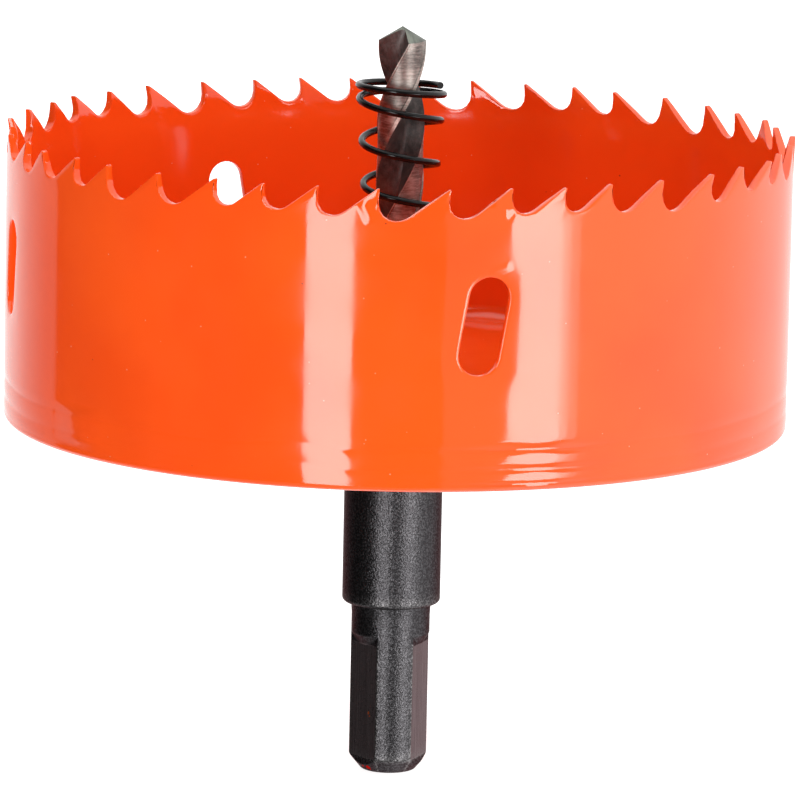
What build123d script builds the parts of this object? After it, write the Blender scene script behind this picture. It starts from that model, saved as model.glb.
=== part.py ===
from build123d import *
import os
from math import asin, atan2, cos, pi, radians, sin, tan

# Hole saw on its own arbor: a toothed steel cup with a welded back plate, held on a
# turned arbor by a nut and a spring washer, with a pilot drill and an ejector spring.
#
# Frame: +Z runs along the arbor towards the teeth, and the origin is the centre of the
# shank's end. Azimuths are in degrees from the first wall slot, which faces -Y, and
# grow anticlockwise seen from the teeth, which is the way the saw turns.

# ---- Overall sizes ------------------------------------------------------------------
cutting_diameter = 100.0  # over the tips of the teeth that lean outwards
cup_height = 37.0  # rim of the back to the tooth tips
collar_length = 23.5  # arbor below the back plate, as far as the shank
shank_length = 21.8  # what the chuck takes hold of
drill_reach = 13.3  # drill point above the tooth tips

# ---- Saw band -----------------------------------------------------------------------
band_thickness = 1.2
tooth_set = 0.4  # how far a tip leans out of the band, each way
rim_edge_break = 0.6  # lower edge of the band

# ---- Teeth --------------------------------------------------------------------------
pitch_cycle = (9.9, 9.0, 7.7, 7.7, 8.7)  # variable pitch, degrees from tip to tip
cycle_count = 8
seam_teeth = 2  # teeth of even pitch where the band's ends are joined
set_cycle = (0, 1, -1, 1, -1)  # a straight tooth, then outwards and inwards in turn
first_tip = -57.7  # azimuth of the first tip after the seam
tip_land = 0.3  # flat along the top of each tip
gullet_depth_share = 0.465  # shares of the pitch: depth of the gullet,
gullet_bottom_share = 0.225  # how far its lowest point lies ahead of the tip,
rake_height_share = 0.2  # height of the straight part of the cutting face,
hook_share = 0.015  # and undercut at the foot of that face
bend_share = 0.9  # teeth bend this share of the shallowest gullet below the tips

# ---- Wall slots ---------------------------------------------------------------------
slot_azimuths = (0.0, 94.0, 196.4, 269.0)
slot_width = 5.4
slot_length = 12.5
slot_tilt = 10.0  # the top of a slot leans this far anticlockwise
slot_centre_height = 20.3  # above the rim of the back

# ---- Back plate ---------------------------------------------------------------------
plate_thickness = 5.2

# ---- Arbor --------------------------------------------------------------------------
collar_diameter = 12.5
collar_edge_break = 0.6  # lower corner of the collar
shank_diameter = 10.0
neck_diameter = 10.1  # round part of the shank, above the flats
flat_depth = 0.8  # each of the three flats, below the round shank
flat_length = 16.6  # full depth of the flats, from the shank's end
flat_runout = 1.3  # cone that leads from the flats back to the round
flat_azimuth = 56.3  # middle of the first flat
end_chamfer_length = 1.9
end_chamfer_depth = 1.6
nose_diameter = 10.0  # thread that passes through the back plate
nose_chamfer = 0.5
nose_stand_out = 1.6  # thread left above the nut

# ---- Nut and spring washer ----------------------------------------------------------
nut_across_flats = 14.0
nut_turn = 18.0  # one corner points this far anticlockwise of +X
nut_height = 8.0
nut_chamfer_angle = 30.0
thread_clearance = 0.05  # on radius, between the thread and what it passes through
washer_diameter = 15.0
washer_thickness = 2.2
washer_gap = 1.0
washer_gap_slant = 20.0

# ---- Pilot drill --------------------------------------------------------------------
drill_diameter = 6.0
drill_length = 70.0
drill_clearance = 0.05  # on radius, in the arbor's bore
drill_lead = 35.0  # one full turn of the flutes
flute_length = 36.0
web_half = 0.55  # from the drill's axis to the line of a lip
heel_radius = 1.75  # hollow of the flute behind the lip
heel_steps = 3  # flats that make up the hollow
point_angle = 118.0
lip_relief = 16.0
lip_azimuth = 94.1  # direction of one lip at the point
bore_bottom_gap = 1.0  # below the drill's foot

# ---- Grub screw ---------------------------------------------------------------------
screw_diameter = 4.0
screw_socket = 2.0  # across the flats of the hexagon
screw_socket_depth = 1.8
screw_chamfer = 0.4
screw_clearance = 0.05  # on radius, in its hole
screw_below_plate = 7.5
screw_azimuth = 168.0
screw_sunk = 0.1  # below the collar's surface
seat_length = 7.0  # flat ground on the drill for the screw
seat_depth = 0.85

# ---- Ejector spring -----------------------------------------------------------------
wire_diameter = 0.9
spring_top_diameter = 11.75
spring_foot_diameter = 9.5
spring_pitch = 5.5
closed_gap = 0.07  # between the closed end coils
closed_turns = 1.0
opening_turns = 0.7  # over which the pitch grows to its full size
spring_above_tips = 6.35  # top of the uppermost coil
spring_end_azimuth = 103.0  # cut end at the top
cock_height = 0.4  # the top coil stands up this far on one side
cock_azimuth = -55.0
points_per_turn = 12  # the coil is made of short straight runs
wire_sides = 6

# ---- Worked-out heights and radii ---------------------------------------------------
rim_z = shank_length + collar_length
plate_top = rim_z + plate_thickness
tip_z = rim_z + cup_height
washer_top = plate_top + washer_thickness
nut_top = washer_top + nut_height
nose_top = nut_top + nose_stand_out
drill_tip = tip_z + drill_reach
drill_foot = drill_tip - drill_length
band_outer = cutting_diameter / 2 - tooth_set
band_inner = band_outer - band_thickness
shank_radius = shank_diameter / 2
collar_radius = collar_diameter / 2
nose_radius = nose_diameter / 2
drill_radius = drill_diameter / 2
wire_radius = wire_diameter / 2
screw_z = rim_z - screw_below_plate
screw_outer_end = collar_radius - screw_sunk
screw_seat = drill_radius - seat_depth


def outwards(azimuth):
    """Level unit vector that points away from the axis."""
    turn = radians(azimuth - 90)
    return Vector(cos(turn), sin(turn), 0)


def radial_plane(azimuth, radius, height):
    """Plane that faces outwards: x runs anticlockwise and y runs up."""
    facing = outwards(azimuth)
    return Plane(origin=facing * radius + Vector(0, 0, height), x_dir=outwards(azimuth + 90), z_dir=facing)


def section_plane(azimuth):
    """Upright half-plane through the axis: x is the radius and y is the height."""
    return Plane(origin=(0, 0, 0), x_dir=outwards(azimuth), z_dir=outwards(azimuth - 90))


# ---- Places of the teeth ------------------------------------------------------------
seam_pitch = (360 - cycle_count * sum(pitch_cycle)) / seam_teeth
pitches = list(pitch_cycle) * cycle_count + [seam_pitch] * seam_teeth
leans = list(set_cycle) * cycle_count + list(set_cycle[1 : 1 + seam_teeth])
tips = [first_tip + sum(pitches[:count]) for count in range(len(pitches))]
bend_depth = bend_share * gullet_depth_share * radians(min(pitches)) * band_outer
bend_z = tip_z - bend_depth

# ---- Saw band -----------------------------------------------------------------------
with BuildPart() as saw_band:
    with BuildSketch(Plane.XY.offset(rim_z)):
        Circle(band_outer)
        Circle(band_inner, mode=Mode.SUBTRACT)
    extrude(amount=bend_z - rim_z)
    chamfer(saw_band.edges().group_by(Axis.Z)[0].sort_by(SortBy.RADIUS)[-1], length=rim_edge_break)

    teeth = []
    gullets = []
    for tip, pitch, before, lean in zip(tips, pitches, pitches[-1:] + pitches[:-1], leans):
        # the sector runs from the gullet behind the tooth to the gullet ahead of it
        behind = before * (1 - gullet_bottom_share)
        ahead = pitch * gullet_bottom_share
        shift = lean * tooth_set
        with BuildSketch(section_plane(tip - behind), mode=Mode.PRIVATE) as leaning:
            with BuildLine():
                Polyline(
                    (band_inner, bend_z),
                    (band_outer, bend_z),
                    (band_outer + shift, tip_z),
                    (band_inner + shift, tip_z),
                    close=True,
                )
            make_face()
        teeth.append(
            revolve(leaning.sketch, axis=Axis.Z, revolution_arc=behind + ahead, mode=Mode.PRIVATE)
        )

        # the gap from this tip to the next, drawn about its middle with the tips at height 0
        half = band_outer * sin(radians(pitch) / 2)
        size = 2 * half
        low = Vector(gullet_bottom_share * size - half, -gullet_depth_share * size)
        face_foot = Vector(-half - hook_share * size, -rake_height_share * size)
        rise = face_foot - low
        floor_radius = rise.length**2 / (2 * rise.Y)
        ramp_end = Vector(half - tip_land, 0)
        sight = ramp_end - low - Vector(0, floor_radius)
        ramp_angle = atan2(sight.Y, sight.X) + asin(floor_radius / sight.length)
        ramp_start = low + Vector(sin(ramp_angle), 1 - cos(ramp_angle)) * floor_radius
        cut_start = band_inner - 2 * tooth_set
        cut_length = band_thickness + 4 * tooth_set
        with BuildSketch(radial_plane(tip + pitch / 2, cut_start, tip_z), mode=Mode.PRIVATE) as gullet:
            with BuildLine():
                ThreePointArc(face_foot, low, ramp_start)
                Polyline(
                    ramp_start,
                    ramp_end,
                    ramp_end + Vector(0, tooth_set),
                    (-half, tooth_set),
                    (-half, 0),
                    face_foot,
                )
            make_face()
        gullets.append(extrude(gullet.sketch, amount=cut_length, mode=Mode.PRIVATE))
    add(teeth)
    add(gullets, mode=Mode.SUBTRACT)

    for azimuth in slot_azimuths:
        with BuildSketch(radial_plane(azimuth, band_inner - band_thickness, rim_z + slot_centre_height)):
            SlotOverall(slot_length, slot_width, rotation=90 - slot_tilt)
        extrude(amount=3 * band_thickness, mode=Mode.SUBTRACT)
saw_band.part.label = "saw_band"

# ---- Back plate, welded into the band -----------------------------------------------
with BuildPart() as back_plate:
    with BuildSketch(Plane.XY.offset(rim_z)):
        Circle(band_inner)
        Circle(nose_radius + thread_clearance, mode=Mode.SUBTRACT)
    extrude(amount=plate_thickness)
back_plate.part.label = "back_plate"

# ---- Arbor --------------------------------------------------------------------------
with BuildPart() as flat_cutter:
    # what lies outside one flat, as far up as the cone that ends it
    with BuildSketch(Plane.XY):
        with Locations((shank_diameter - flat_depth, 0)):
            Rectangle(shank_diameter, 2 * shank_diameter)
    extrude(amount=flat_length + flat_runout)
    with BuildSketch(Plane.XZ):
        with BuildLine():
            Polyline(
                (0, flat_length),
                (shank_radius - flat_depth, flat_length),
                (shank_radius, flat_length + flat_runout),
                (0, flat_length + flat_runout),
                close=True,
            )
        make_face()
    revolve(axis=Axis.Z, mode=Mode.SUBTRACT)

with BuildPart() as arbor:
    with BuildSketch(Plane.XZ):
        with BuildLine():
            Polyline(
                (0, 0),
                (shank_radius - end_chamfer_depth, 0),
                (shank_radius, end_chamfer_length),
                (shank_radius, flat_length + flat_runout),
                (neck_diameter / 2, flat_length + flat_runout),
                (neck_diameter / 2, shank_length),
                (collar_radius, shank_length),
                (collar_radius, rim_z),
                (nose_radius, rim_z),
                (nose_radius, nose_top),
                (0, nose_top),
                close=True,
            )
        make_face()
    revolve(axis=Axis.Z)
    rings = arbor.edges().filter_by(GeomType.CIRCLE).sort_by(Axis.Z)
    chamfer(rings[-1], length=nose_chamfer)
    chamfer(rings.filter_by(lambda ring: abs(ring.radius - collar_radius) < 0.001)[0], length=collar_edge_break)
    with PolarLocations(0, 3, start_angle=flat_azimuth - 90):
        add(flat_cutter.part, mode=Mode.SUBTRACT)

    with BuildSketch(Plane.XZ):
        with BuildLine():
            bore = drill_radius + drill_clearance
            bore_bottom = drill_foot - bore_bottom_gap
            Polyline(
                (0, nose_top),
                (bore, nose_top),
                (bore, bore_bottom),
                (0, bore_bottom),
                close=True,
            )
        make_face()
    revolve(axis=Axis.Z, mode=Mode.SUBTRACT)

    with BuildSketch(radial_plane(screw_azimuth, 0, screw_z)):
        Circle(screw_diameter / 2 + screw_clearance)
    extrude(amount=collar_diameter, mode=Mode.SUBTRACT)
arbor.part.label = "arbor"

# ---- Spring washer and nut ----------------------------------------------------------
with BuildPart() as spring_washer:
    with BuildSketch(Plane.XY.offset(plate_top)):
        Circle(washer_diameter / 2)
        Circle(nose_radius + thread_clearance, mode=Mode.SUBTRACT)
    extrude(amount=washer_thickness)
    # slanted cut where the coil of the washer ends
    with BuildSketch(Plane.XZ):
        with Locations((0, plate_top + washer_thickness / 2)):
            Rectangle(washer_gap, 3 * washer_thickness, rotation=washer_gap_slant)
    extrude(amount=washer_diameter, mode=Mode.SUBTRACT)
spring_washer.part.label = "spring_washer"

with BuildPart() as lock_nut:
    with BuildSketch(Plane.XY.offset(washer_top)):
        RegularPolygon(nut_across_flats / 2, 6, major_radius=False, rotation=nut_turn)
        Circle(nose_radius + thread_clearance, mode=Mode.SUBTRACT)
    extrude(amount=nut_height)
    # the upper face is turned to a cone that takes the six corners off
    corner = nut_across_flats / 2 / cos(pi / 6)
    slope = tan(radians(nut_chamfer_angle))
    flank = nut_across_flats / 2
    drop = (corner + 1 - flank) * slope
    with BuildSketch(Plane.XZ):
        with BuildLine():
            Polyline(
                (0, washer_top),
                (corner + 1, washer_top),
                (corner + 1, nut_top - drop),
                (flank, nut_top),
                (0, nut_top),
                close=True,
            )
        make_face()
    revolve(axis=Axis.Z, mode=Mode.INTERSECT)
lock_nut.part.label = "lock_nut"

# ---- Pilot drill --------------------------------------------------------------------
flute_foot = drill_tip - flute_length
overrun = drill_radius  # the bar is this much too long before the point is ground
with BuildPart() as pilot_drill:
    with BuildSketch(Plane.XY.offset(drill_foot)):
        Circle(drill_radius)
    extrude(amount=drill_length + overrun)

    # both flutes at their foot, turned back by their twist up to the point
    foot_turn = lip_azimuth - 90 - 360 * flute_length / drill_lead
    with BuildSketch(Plane.XY.offset(flute_foot)):
        for turn in (foot_turn, foot_turn + 180):
            steps = [radians(90 * step / heel_steps) for step in range(heel_steps + 1)]
            hollow = [
                (web_half - heel_radius * sin(step), web_half + heel_radius * (1 - cos(step))) for step in steps
            ]
            with BuildLine(Plane.XY.rotated((0, 0, turn))):
                Polyline(
                    (drill_diameter, web_half),
                    *hollow,
                    (web_half - heel_radius, drill_diameter),
                    (drill_diameter, drill_diameter),
                    close=True,
                )
            make_face()
    with BuildLine() as spine:
        Line((0, 0, flute_foot), (0, 0, drill_tip + overrun))
    with BuildLine() as twist:
        Helix(drill_lead, flute_length + overrun, drill_radius, center=(0, 0, flute_foot))
    sweep(path=spine.edges()[0], binormal=twist.edges()[0], mode=Mode.SUBTRACT)

    # each half of the point is one flat facet that falls away behind its lip
    fall = 1 / tan(radians(point_angle / 2))
    relief = tan(radians(lip_relief))
    for turn in (0, 180):
        along = outwards(lip_azimuth + turn)
        ahead = outwards(lip_azimuth + turn + 90)
        facet = Plane(
            origin=ahead * web_half + Vector(0, 0, drill_tip + relief * web_half),
            z_dir=along * fall - ahead * relief + Vector(0, 0, 1),
        )
        split(bisect_by=facet, keep=Keep.BOTTOM)

    with BuildSketch(radial_plane(screw_azimuth, screw_seat, screw_z)):
        Rectangle(drill_diameter, seat_length)
    extrude(amount=drill_radius, mode=Mode.SUBTRACT)
pilot_drill.part.label = "pilot_drill"

# ---- Grub screw that holds the drill ------------------------------------------------
with BuildPart() as grub_screw:
    with BuildSketch(radial_plane(screw_azimuth, screw_seat, screw_z)):
        Circle(screw_diameter / 2)
    extrude(amount=screw_outer_end - screw_seat)
    outer_end = grub_screw.faces().sort_by(Axis((0, 0, 0), outwards(screw_azimuth)))[-1]
    chamfer(outer_end.edges(), length=screw_chamfer)
    with BuildSketch(radial_plane(screw_azimuth, screw_outer_end, screw_z)):
        RegularPolygon(screw_socket / 2, 6, major_radius=False)
    extrude(amount=-screw_socket_depth, mode=Mode.SUBTRACT)
grub_screw.part.label = "grub_screw"

# ---- Ejector spring -----------------------------------------------------------------
spring_top = tip_z + spring_above_tips - wire_radius
spring_height = spring_top - nose_top - wire_radius
closed_pitch = wire_diameter + closed_gap
opened = spring_pitch - closed_pitch
turn_count = (spring_height + opened * (2 * closed_turns + opening_turns)) / spring_pitch
top_radius = spring_top_diameter / 2 - wire_radius
foot_radius = spring_foot_diameter / 2 - wire_radius


def opening(turns):
    """Turns at full pitch gained this many turns past a closed end coil."""
    if turns <= 0:
        return 0
    if turns < opening_turns:
        return turns**2 / (2 * opening_turns)
    return turns - opening_turns / 2


def coil_point(turns):
    """Middle of the wire, so many turns down from the cut end at the top."""
    foot_start = turn_count - closed_turns - opening_turns
    drop = closed_pitch * turns + opened * (opening(turns - closed_turns) - opening(turns - foot_start))
    rise = 1 - drop / spring_height
    radius = foot_radius + (top_radius - foot_radius) * rise**2
    azimuth = spring_end_azimuth + 360 * turns
    settled = min(max((turns - closed_turns) / opening_turns, 0), 1)
    cock = cock_height * (1 - settled) * cos(radians(azimuth - cock_azimuth))
    return outwards(azimuth) * radius + Vector(0, 0, spring_top - drop + cock)


with BuildPart() as ejector_spring:
    steps = round(turn_count * points_per_turn)
    with BuildLine() as coil:
        Polyline([coil_point(turn_count * step / steps) for step in range(steps + 1)])
    with BuildSketch(Plane(origin=coil.line @ 0, z_dir=coil.line % 0)):
        RegularPolygon(wire_radius, wire_sides)
    sweep(path=coil.wires()[0], transition=Transition.RIGHT)
ejector_spring.part.label = "ejector_spring"

# ---- One file for each piece --------------------------------------------------------
os.makedirs("parts", exist_ok=True)
for piece in (
    saw_band,
    back_plate,
    arbor,
    spring_washer,
    lock_nut,
    pilot_drill,
    grub_screw,
    ejector_spring,
):
    export_step(piece.part, f"parts/{piece.part.label}.step")
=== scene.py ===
"""Hole saw on its own arbor: the finished look of every piece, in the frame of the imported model.

Meshes are shaped in millimetres and brought to metres as each piece is finished. Azimuths are in
degrees from the first wall slot, which faces -Y, and grow anticlockwise seen from the teeth.
"""

import logging
from collections.abc import Callable, Iterator, Sequence
from contextlib import contextmanager
from dataclasses import dataclass, field
from enum import Enum
from math import asin, atan2, cos, pi, radians, sin, sqrt, tan

import bpy
import numpy as np
from mathutils import Matrix, Vector


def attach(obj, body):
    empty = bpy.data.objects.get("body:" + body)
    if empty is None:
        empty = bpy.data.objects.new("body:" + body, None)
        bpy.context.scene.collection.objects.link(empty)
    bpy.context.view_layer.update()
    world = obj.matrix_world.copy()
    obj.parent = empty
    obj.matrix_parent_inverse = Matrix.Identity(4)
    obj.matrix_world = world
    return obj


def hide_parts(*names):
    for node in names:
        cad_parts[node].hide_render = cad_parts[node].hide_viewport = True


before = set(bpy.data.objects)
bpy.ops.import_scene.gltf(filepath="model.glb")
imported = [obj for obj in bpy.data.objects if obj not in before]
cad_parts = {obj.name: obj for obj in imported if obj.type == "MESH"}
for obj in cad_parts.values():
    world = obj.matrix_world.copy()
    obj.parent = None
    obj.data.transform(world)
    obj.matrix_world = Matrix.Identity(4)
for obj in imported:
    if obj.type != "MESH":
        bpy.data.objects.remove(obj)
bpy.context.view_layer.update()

log = logging.getLogger("hole_saw")

MM = 0.001
CUP_RADIUS = 49.6
SHANK_FLAT = 56.3
SCREW_AZIMUTH, SCREW_HEIGHT = 168.0, 37.8
QUARTER = [radians(15 * step) for step in range(7)]
PICKED = {"VERT": "vertices", "EDGE": "edges", "FACE": "polygons"}
Rule = Callable[[np.ndarray, np.ndarray, np.ndarray], tuple[np.ndarray, np.ndarray, np.ndarray]]
Outline = list[tuple[float, float]]
Place = tuple[float, float, float]
Colour = tuple[float, float, float, float]
Waves = tuple[tuple[int, float, float], ...]


class Slot(Enum):
    """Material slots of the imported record."""

    CUP_PAINT = "cup_paint"
    BLACK_OXIDE = "black_oxide"
    DRILL_STEEL = "drill_steel"
    SPRING_WIRE = "spring_wire"


class Lean(Enum):
    """Which way a tooth is set."""

    STRAIGHT = 0
    OUT = 1
    IN = -1


# ---- Geometry helpers ---------------------------------------------------------------


def outwards(azimuth: float) -> Vector:
    """Level unit vector that points away from the axis at an azimuth in degrees."""
    return Vector((sin(radians(azimuth)), -cos(radians(azimuth)), 0))


def smooth_step(value: np.ndarray, start: float, end: float) -> np.ndarray:
    """Rises smoothly from 0 at start to 1 at end."""
    share = np.clip((value - start) / (end - start), 0, 1)
    return share * share * (3 - 2 * share)


def soft_min(first: np.ndarray, second: np.ndarray, rounding: float) -> np.ndarray:
    """Smaller of two radii, with the corner between them rounded over about that width."""
    near = np.maximum(rounding - np.abs(first - second), 0) / rounding
    return np.minimum(first, second) - near * near * rounding / 4


def wrapped(azimuth: np.ndarray, middle: float, period: float) -> np.ndarray:
    """Angle from the nearest of the middles that repeat with that period, in degrees."""
    return (azimuth - middle + period / 2) % period - period / 2


def rounded(corners: Sequence[tuple[float, float, float]], steps: int = 5) -> Outline:
    """Draws an outline with an arc in place of each corner that has a radius.

    Args:
        corners: Radius from the axis, height and rounding of each corner.
        steps: Runs in each arc.

    Returns:
        Points of the outline.
    """
    points: Outline = []
    for index, (r, z, rounding) in enumerate(corners):
        here = Vector((r, z))
        if rounding <= 0:
            points.append((r, z))
            continue
        before = Vector(corners[index - 1][:2]) - here
        after = Vector(corners[(index + 1) % len(corners)][:2]) - here
        half = before.angle(after) / 2
        reach = min(rounding / tan(half), 0.49 * before.length, 0.49 * after.length)
        centre = here + (before.normalized() + after.normalized()).normalized() * reach / cos(half)
        start, end = here + before.normalized() * reach, here + after.normalized() * reach
        for step in range(steps + 1):
            aim = start.lerp(end, step / steps) - centre
            point = centre + aim.normalized() * (start - centre).length
            points.append((point.x, point.y))
    return points


def spaced(points: Outline, step_at: Callable[[float, float], float]) -> Outline:
    """Adds points along the runs of a closed outline, no further apart than step_at says.

    Args:
        points: The outline, as radius and height.
        step_at: Gives the widest step at a radius and height.

    Returns:
        The outline with its added points.
    """
    result: Outline = []
    for (r0, z0), (r1, z1) in zip(points, points[1:] + points[:1]):
        step = step_at((r0 + r1) / 2, (z0 + z1) / 2)
        length = sqrt((r1 - r0) ** 2 + (z1 - z0) ** 2)
        count = 1 if r0 < 1e-6 and r1 < 1e-6 else max(1, round(length / step + 0.3))
        result += [(r0 + (r1 - r0) * k / count, z0 + (z1 - z0) * k / count) for k in range(count)]
    return result


def noise_ring(azimuth: np.ndarray, waves: Waves) -> np.ndarray:
    """Sum of waves round the axis: how many in a turn, their height, and their shift in degrees.

    Args:
        azimuth: Azimuths, in degrees.
        waves: The waves, one row each.

    Returns:
        The sum at each azimuth.
    """
    turn = np.radians(azimuth)
    return sum(height * np.sin(count * turn + radians(shift)) for count, height, shift in waves)


# ---- Mesh helpers -------------------------------------------------------------------


def make_active(piece: bpy.types.Object) -> None:
    """Selects one piece alone and makes it the active one."""
    bpy.ops.object.select_all(action="DESELECT")
    bpy.context.view_layer.objects.active = piece
    piece.select_set(True)


@contextmanager
def editing(piece: bpy.types.Object, mode: str = "VERT", chosen: np.ndarray | None = None) -> Iterator[None]:
    """Holds one piece in edit mode.

    Args:
        piece: The piece.
        mode: What is picked in it: VERT, EDGE or FACE.
        chosen: Mask of what is selected at the start, or None for nothing.
    """
    make_active(piece)
    bpy.context.tool_settings.mesh_select_mode = [mode == kind for kind in PICKED]
    if chosen is not None:
        select_where(piece, PICKED[mode], chosen)
    bpy.ops.object.mode_set(mode="EDIT")
    if chosen is None:
        bpy.ops.mesh.select_all(action="DESELECT")
    yield
    bpy.ops.object.mode_set(mode="OBJECT")


def points_of(piece: bpy.types.Object) -> np.ndarray:
    """Places of a piece's vertices, one row each."""
    flat = np.zeros(len(piece.data.vertices) * 3)
    piece.data.vertices.foreach_get("co", flat)
    return flat.reshape(-1, 3)


def put_points(piece: bpy.types.Object, points: np.ndarray) -> None:
    """Moves a piece's vertices to new places."""
    piece.data.vertices.foreach_set("co", np.ascontiguousarray(points).ravel())
    piece.data.update()


def mark(piece: bpy.types.Object, name: str, values: np.ndarray) -> None:
    """Writes one number for each vertex, for a finish to read.

    Args:
        piece: The piece.
        name: Name that the finish reads it by.
        values: One number for each vertex.
    """
    layer = piece.data.attributes.new(name, "FLOAT", "POINT")
    layer.data.foreach_set("value", np.ascontiguousarray(values, dtype=np.float32))


def edge_ends(piece: bpy.types.Object) -> np.ndarray:
    """Numbers of the two vertices of each edge, one row each."""
    flat = np.zeros(len(piece.data.edges) * 2, dtype=int)
    piece.data.edges.foreach_get("vertices", flat)
    return flat.reshape(-1, 2)


def selected(piece: bpy.types.Object, kind: str) -> np.ndarray:
    """Mask of the vertices, edges or polygons that are selected."""
    parts = getattr(piece.data, kind)
    chosen = np.zeros(len(parts), dtype=bool)
    parts.foreach_get("select", chosen)
    return chosen


def select_where(piece: bpy.types.Object, kind: str, chosen: np.ndarray) -> None:
    """Selects only what a mask chooses, in object mode.

    Args:
        piece: The piece.
        kind: Whether the mask is for its vertices, edges or polygons.
        chosen: One truth value for each of them.
    """
    for each in PICKED.values():
        parts = getattr(piece.data, each)
        parts.foreach_set("select", np.zeros(len(parts), dtype=bool))
    getattr(piece.data, kind).foreach_set("select", np.ascontiguousarray(chosen, dtype=bool))


def close_up(piece: bpy.types.Object, threshold: float = 1e-3) -> None:
    """Merges doubles and turns the faces outwards.

    Args:
        piece: The piece.
        threshold: How near two vertices lie that are one.
    """
    with editing(piece):
        bpy.ops.mesh.select_all(action="SELECT")
        bpy.ops.mesh.remove_doubles(threshold=threshold)
        bpy.ops.mesh.dissolve_degenerate(threshold=1e-5)
        bpy.ops.mesh.normals_make_consistent(inside=False)


def smooth(piece: bpy.types.Object, angle: float = 32.0) -> None:
    """Shades a piece smooth except over edges sharper than an angle in degrees."""
    make_active(piece)
    bpy.ops.object.shade_smooth_by_angle(angle=radians(angle))


def cut_away(piece: bpy.types.Object, cutter: bpy.types.Object) -> None:
    """Takes the cutter's solid out of a piece, then removes the cutter.

    Args:
        piece: The piece.
        cutter: The solid to take out of it.
    """
    tool = piece.modifiers.new("cut", "BOOLEAN")
    tool.operation, tool.solver, tool.object = "DIFFERENCE", "EXACT", cutter
    bpy.context.view_layer.objects.active = piece
    bpy.ops.object.modifier_apply(modifier=tool.name)
    bpy.data.objects.remove(cutter)


def lathe(name: str, outline: Outline, columns: Sequence[float], rule: Rule) -> bpy.types.Object:
    """Spins a closed outline round the axis and lets a rule shape what it swept.

    Args:
        name: Name of the new piece.
        outline: Closed outline, as radius and height.
        columns: Azimuths of the columns of vertices, in degrees.
        rule: Takes and gives the radius, azimuth and height of every vertex.

    Returns:
        The piece, closed, with its faces outwards.
    """
    bpy.ops.object.select_all(action="DESELECT")
    bpy.ops.mesh.primitive_circle_add(vertices=len(outline), radius=1, fill_type="NOTHING")
    piece = bpy.context.object
    piece.name = piece.data.name = name
    put_points(piece, np.array([(0, -r, z) for r, z in outline]))
    with editing(piece):
        bpy.ops.mesh.select_all(action="SELECT")
        bpy.ops.mesh.spin(steps=len(columns), angle=2 * pi, center=(0, 0, 0), axis=(0, 0, 1))
    points = points_of(piece)
    radius = np.hypot(points[:, 0], points[:, 1])
    even = np.degrees(np.arctan2(points[:, 0], -points[:, 1])) % 360
    azimuth = np.array(columns)[np.round(even * len(columns) / 360).astype(int) % len(columns)]
    radius, azimuth, height = rule(radius, azimuth, points[:, 2].copy())
    turn = np.radians(azimuth)
    put_points(piece, np.column_stack((radius * np.sin(turn), -radius * np.cos(turn), height)))
    close_up(piece)
    return piece


def even_columns(count: int) -> list[float]:
    """Azimuths that divide a turn evenly."""
    return [360 * index / count for index in range(count)]


# ---- Shader helpers -----------------------------------------------------------------

Socket = bpy.types.NodeSocket
Input = Socket | float | Sequence[float]


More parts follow.
